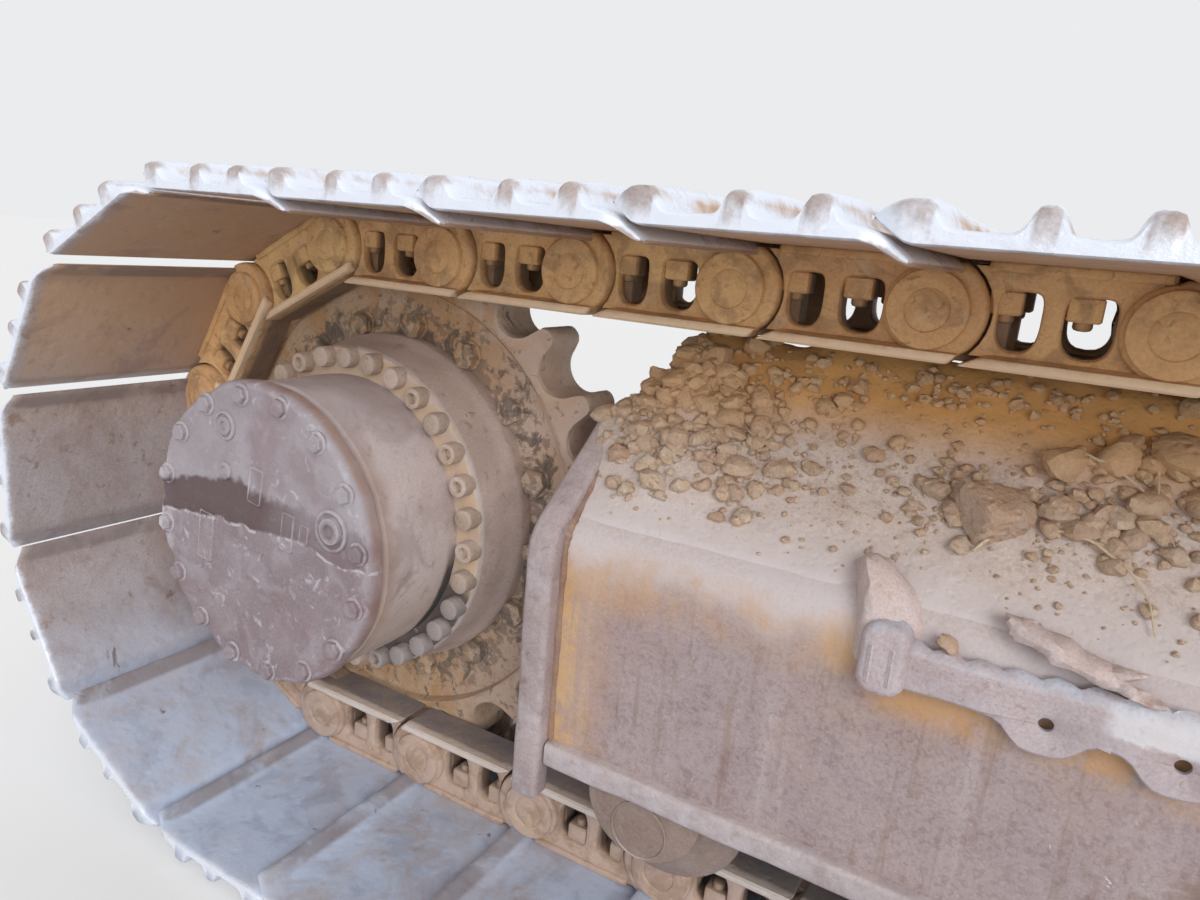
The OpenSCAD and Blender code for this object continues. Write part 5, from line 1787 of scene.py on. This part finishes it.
class TRACK_OT_stage(bpy.types.Operator):
    """Pale floor, plain soft light and the camera at the photograph's angle"""
    bl_idname = "track_unit.stage"
    bl_label = "Stage"

    def execute(self, context):
        self.floor()
        self.light()
        self.camera()
        context.scene.view_settings.view_transform = "Standard"
        return {"FINISHED"}

    def floor(self):
        """A wide pale square, which glows a little for the camera."""
        mesh = bpy.data.meshes.new("floor")
        corners = [(x * FLOOR_HALF, y * FLOOR_HALF, 0) for x, y in ((-1, -1), (1, -1), (1, 1), (-1, 1))]
        mesh.from_pydata(corners, [], [(0, 1, 2, 3)])
        material = bpy.data.materials.new("Pale floor")
        material.use_nodes = True
        g = Graph(material.node_tree)
        plain = g.add("ShaderNodeBsdfDiffuse", {"Color": (0.62, 0.61, 0.60)})
        seen = g.seen("Is Camera Ray", "Is Glossy Ray")
        glow = g.add("ShaderNodeEmission", {"Color": BACKDROP, "Strength": g.times(seen, 0.25)})
        g.add("ShaderNodeOutputMaterial", {"Surface": g.add("ShaderNodeAddShader", {0: plain, 1: glow})})
        mesh.materials.append(material)
        linked("floor", mesh)

    def light(self):
        """A soft sky, paler where the camera looks at it, and two wide suns from the outboard side."""
        world = bpy.data.worlds.new("Pale studio")
        world.use_nodes = True
        g = Graph(world.node_tree)
        seen = g.seen("Is Camera Ray", "Is Glossy Ray", "Is Transmission Ray")
        fill = g.add("ShaderNodeBackground", {"Color": (0.95, 0.97, 1.0), "Strength": 0.78})
        back = g.add("ShaderNodeBackground", {"Color": BACKDROP, "Strength": 0.85})
        both = g.add("ShaderNodeMixShader", {0: seen, 1: fill, 2: back})
        g.add("ShaderNodeOutputWorld", {"Surface": both})
        bpy.context.scene.world = world
        for name, (toward, strength) in SUNS.items():
            data = bpy.data.lights.new(name, "SUN")
            data.energy = strength
            data.angle = math.radians(SUN_SPREAD)
            lamp = linked(name, data)
            lamp.rotation_mode = "QUATERNION"
            lamp.rotation_quaternion = Vector(toward).to_track_quat("Z", "Y")

    def camera(self):
        """The photograph's camera: turned about the vertical, tipped down and rolled."""
        yaw, pitch, roll = CAMERA_YAW, CAMERA_PITCH, CAMERA_ROLL
        flat = np.array([math.sin(yaw), math.cos(yaw), 0])
        right = np.array([math.cos(yaw), -math.sin(yaw), 0])
        up = np.array([0, 0, 1])
        ahead = flat * math.cos(pitch) - up * math.sin(pitch)
        lifted = up * math.cos(pitch) + flat * math.sin(pitch)
        across = right * math.cos(roll) + lifted * math.sin(roll)
        above = lifted * math.cos(roll) - right * math.sin(roll)
        data = bpy.data.cameras.new("camera")
        data.sensor_width = 36
        data.lens = FOCAL_PIXELS / PHOTO_WIDTH * data.sensor_width
        data.clip_start = 0.02
        data.clip_end = 200
        camera = linked("camera", data)
        x, z, h = (v / 1000 for v in CAMERA_PLACE)
        place = (AXLE_X + x, -h, AXLE_Z + z)
        rows = [[across[i], above[i], -ahead[i], place[i]] for i in range(3)]
        camera.matrix_world = Matrix(rows + [[0, 0, 0, 1]])
        bpy.context.scene.camera = camera


class TRACK_OT_plain_parts(bpy.types.Operator):
    """Finishes of the plates, brackets and blocks that keep their CAD shape"""
    bl_idname = "track_unit.plain_parts"
    bl_label = "Plain Parts"

    def execute(self, context):
        slots = {row["node"]: row["material_slot"] for row in frame["record"]["subparts"]}
        for name, node in frame["nodes"].items():
            if not node.hide_render:
                node.data.materials.clear()
                node.data.materials.append(FINISH[slots[name]])
        return {"FINISHED"}


OPERATORS = (TRACK_OT_chain, TRACK_OT_shoes, TRACK_OT_final_drive, TRACK_OT_sprocket, TRACK_OT_side_frame,
             TRACK_OT_rollers, TRACK_OT_motor, TRACK_OT_mud, TRACK_OT_step, TRACK_OT_plain_parts,
             TRACK_OT_stage)


class TRACK_PT_panel(bpy.types.Panel):
    """Builders of the track unit"""
    bl_idname = "TRACK_PT_panel"
    bl_label = "Track Unit"
    bl_space_type = "VIEW_3D"
    bl_region_type = "UI"
    bl_category = "Track Unit"

    def draw(self, context):
        """Every size and colour in a box for each group, then the builders."""
        for name in GROUPS:
            box = self.layout.box()
            group = getattr(context.scene, "track_unit_" + name)
            for key in GROUPS[name].__annotations__:
                box.prop(group, key)
        for operator in OPERATORS:
            self.layout.operator(operator.bl_idname)


CLASSES = (*GROUPS.values(), *OPERATORS, TRACK_PT_panel)


def register():
    """Adds the sizes, the builders and the panel."""
    for cls in CLASSES:
        bpy.utils.register_class(cls)
    for name, group in GROUPS.items():
        setattr(bpy.types.Scene, "track_unit_" + name, PointerProperty(type=group))


def unregister():
    """Takes them away again."""
    for name in GROUPS:
        delattr(bpy.types.Scene, "track_unit_" + name)
    for cls in reversed(CLASSES):
        bpy.utils.unregister_class(cls)


def main():
    """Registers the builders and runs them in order."""
    register()
    build_effects()
    build_finishes()
    for operator in OPERATORS:
        section, name = operator.bl_idname.split(".")
        getattr(getattr(bpy.ops, section), name)()


if __name__ == "__main__":
    main()
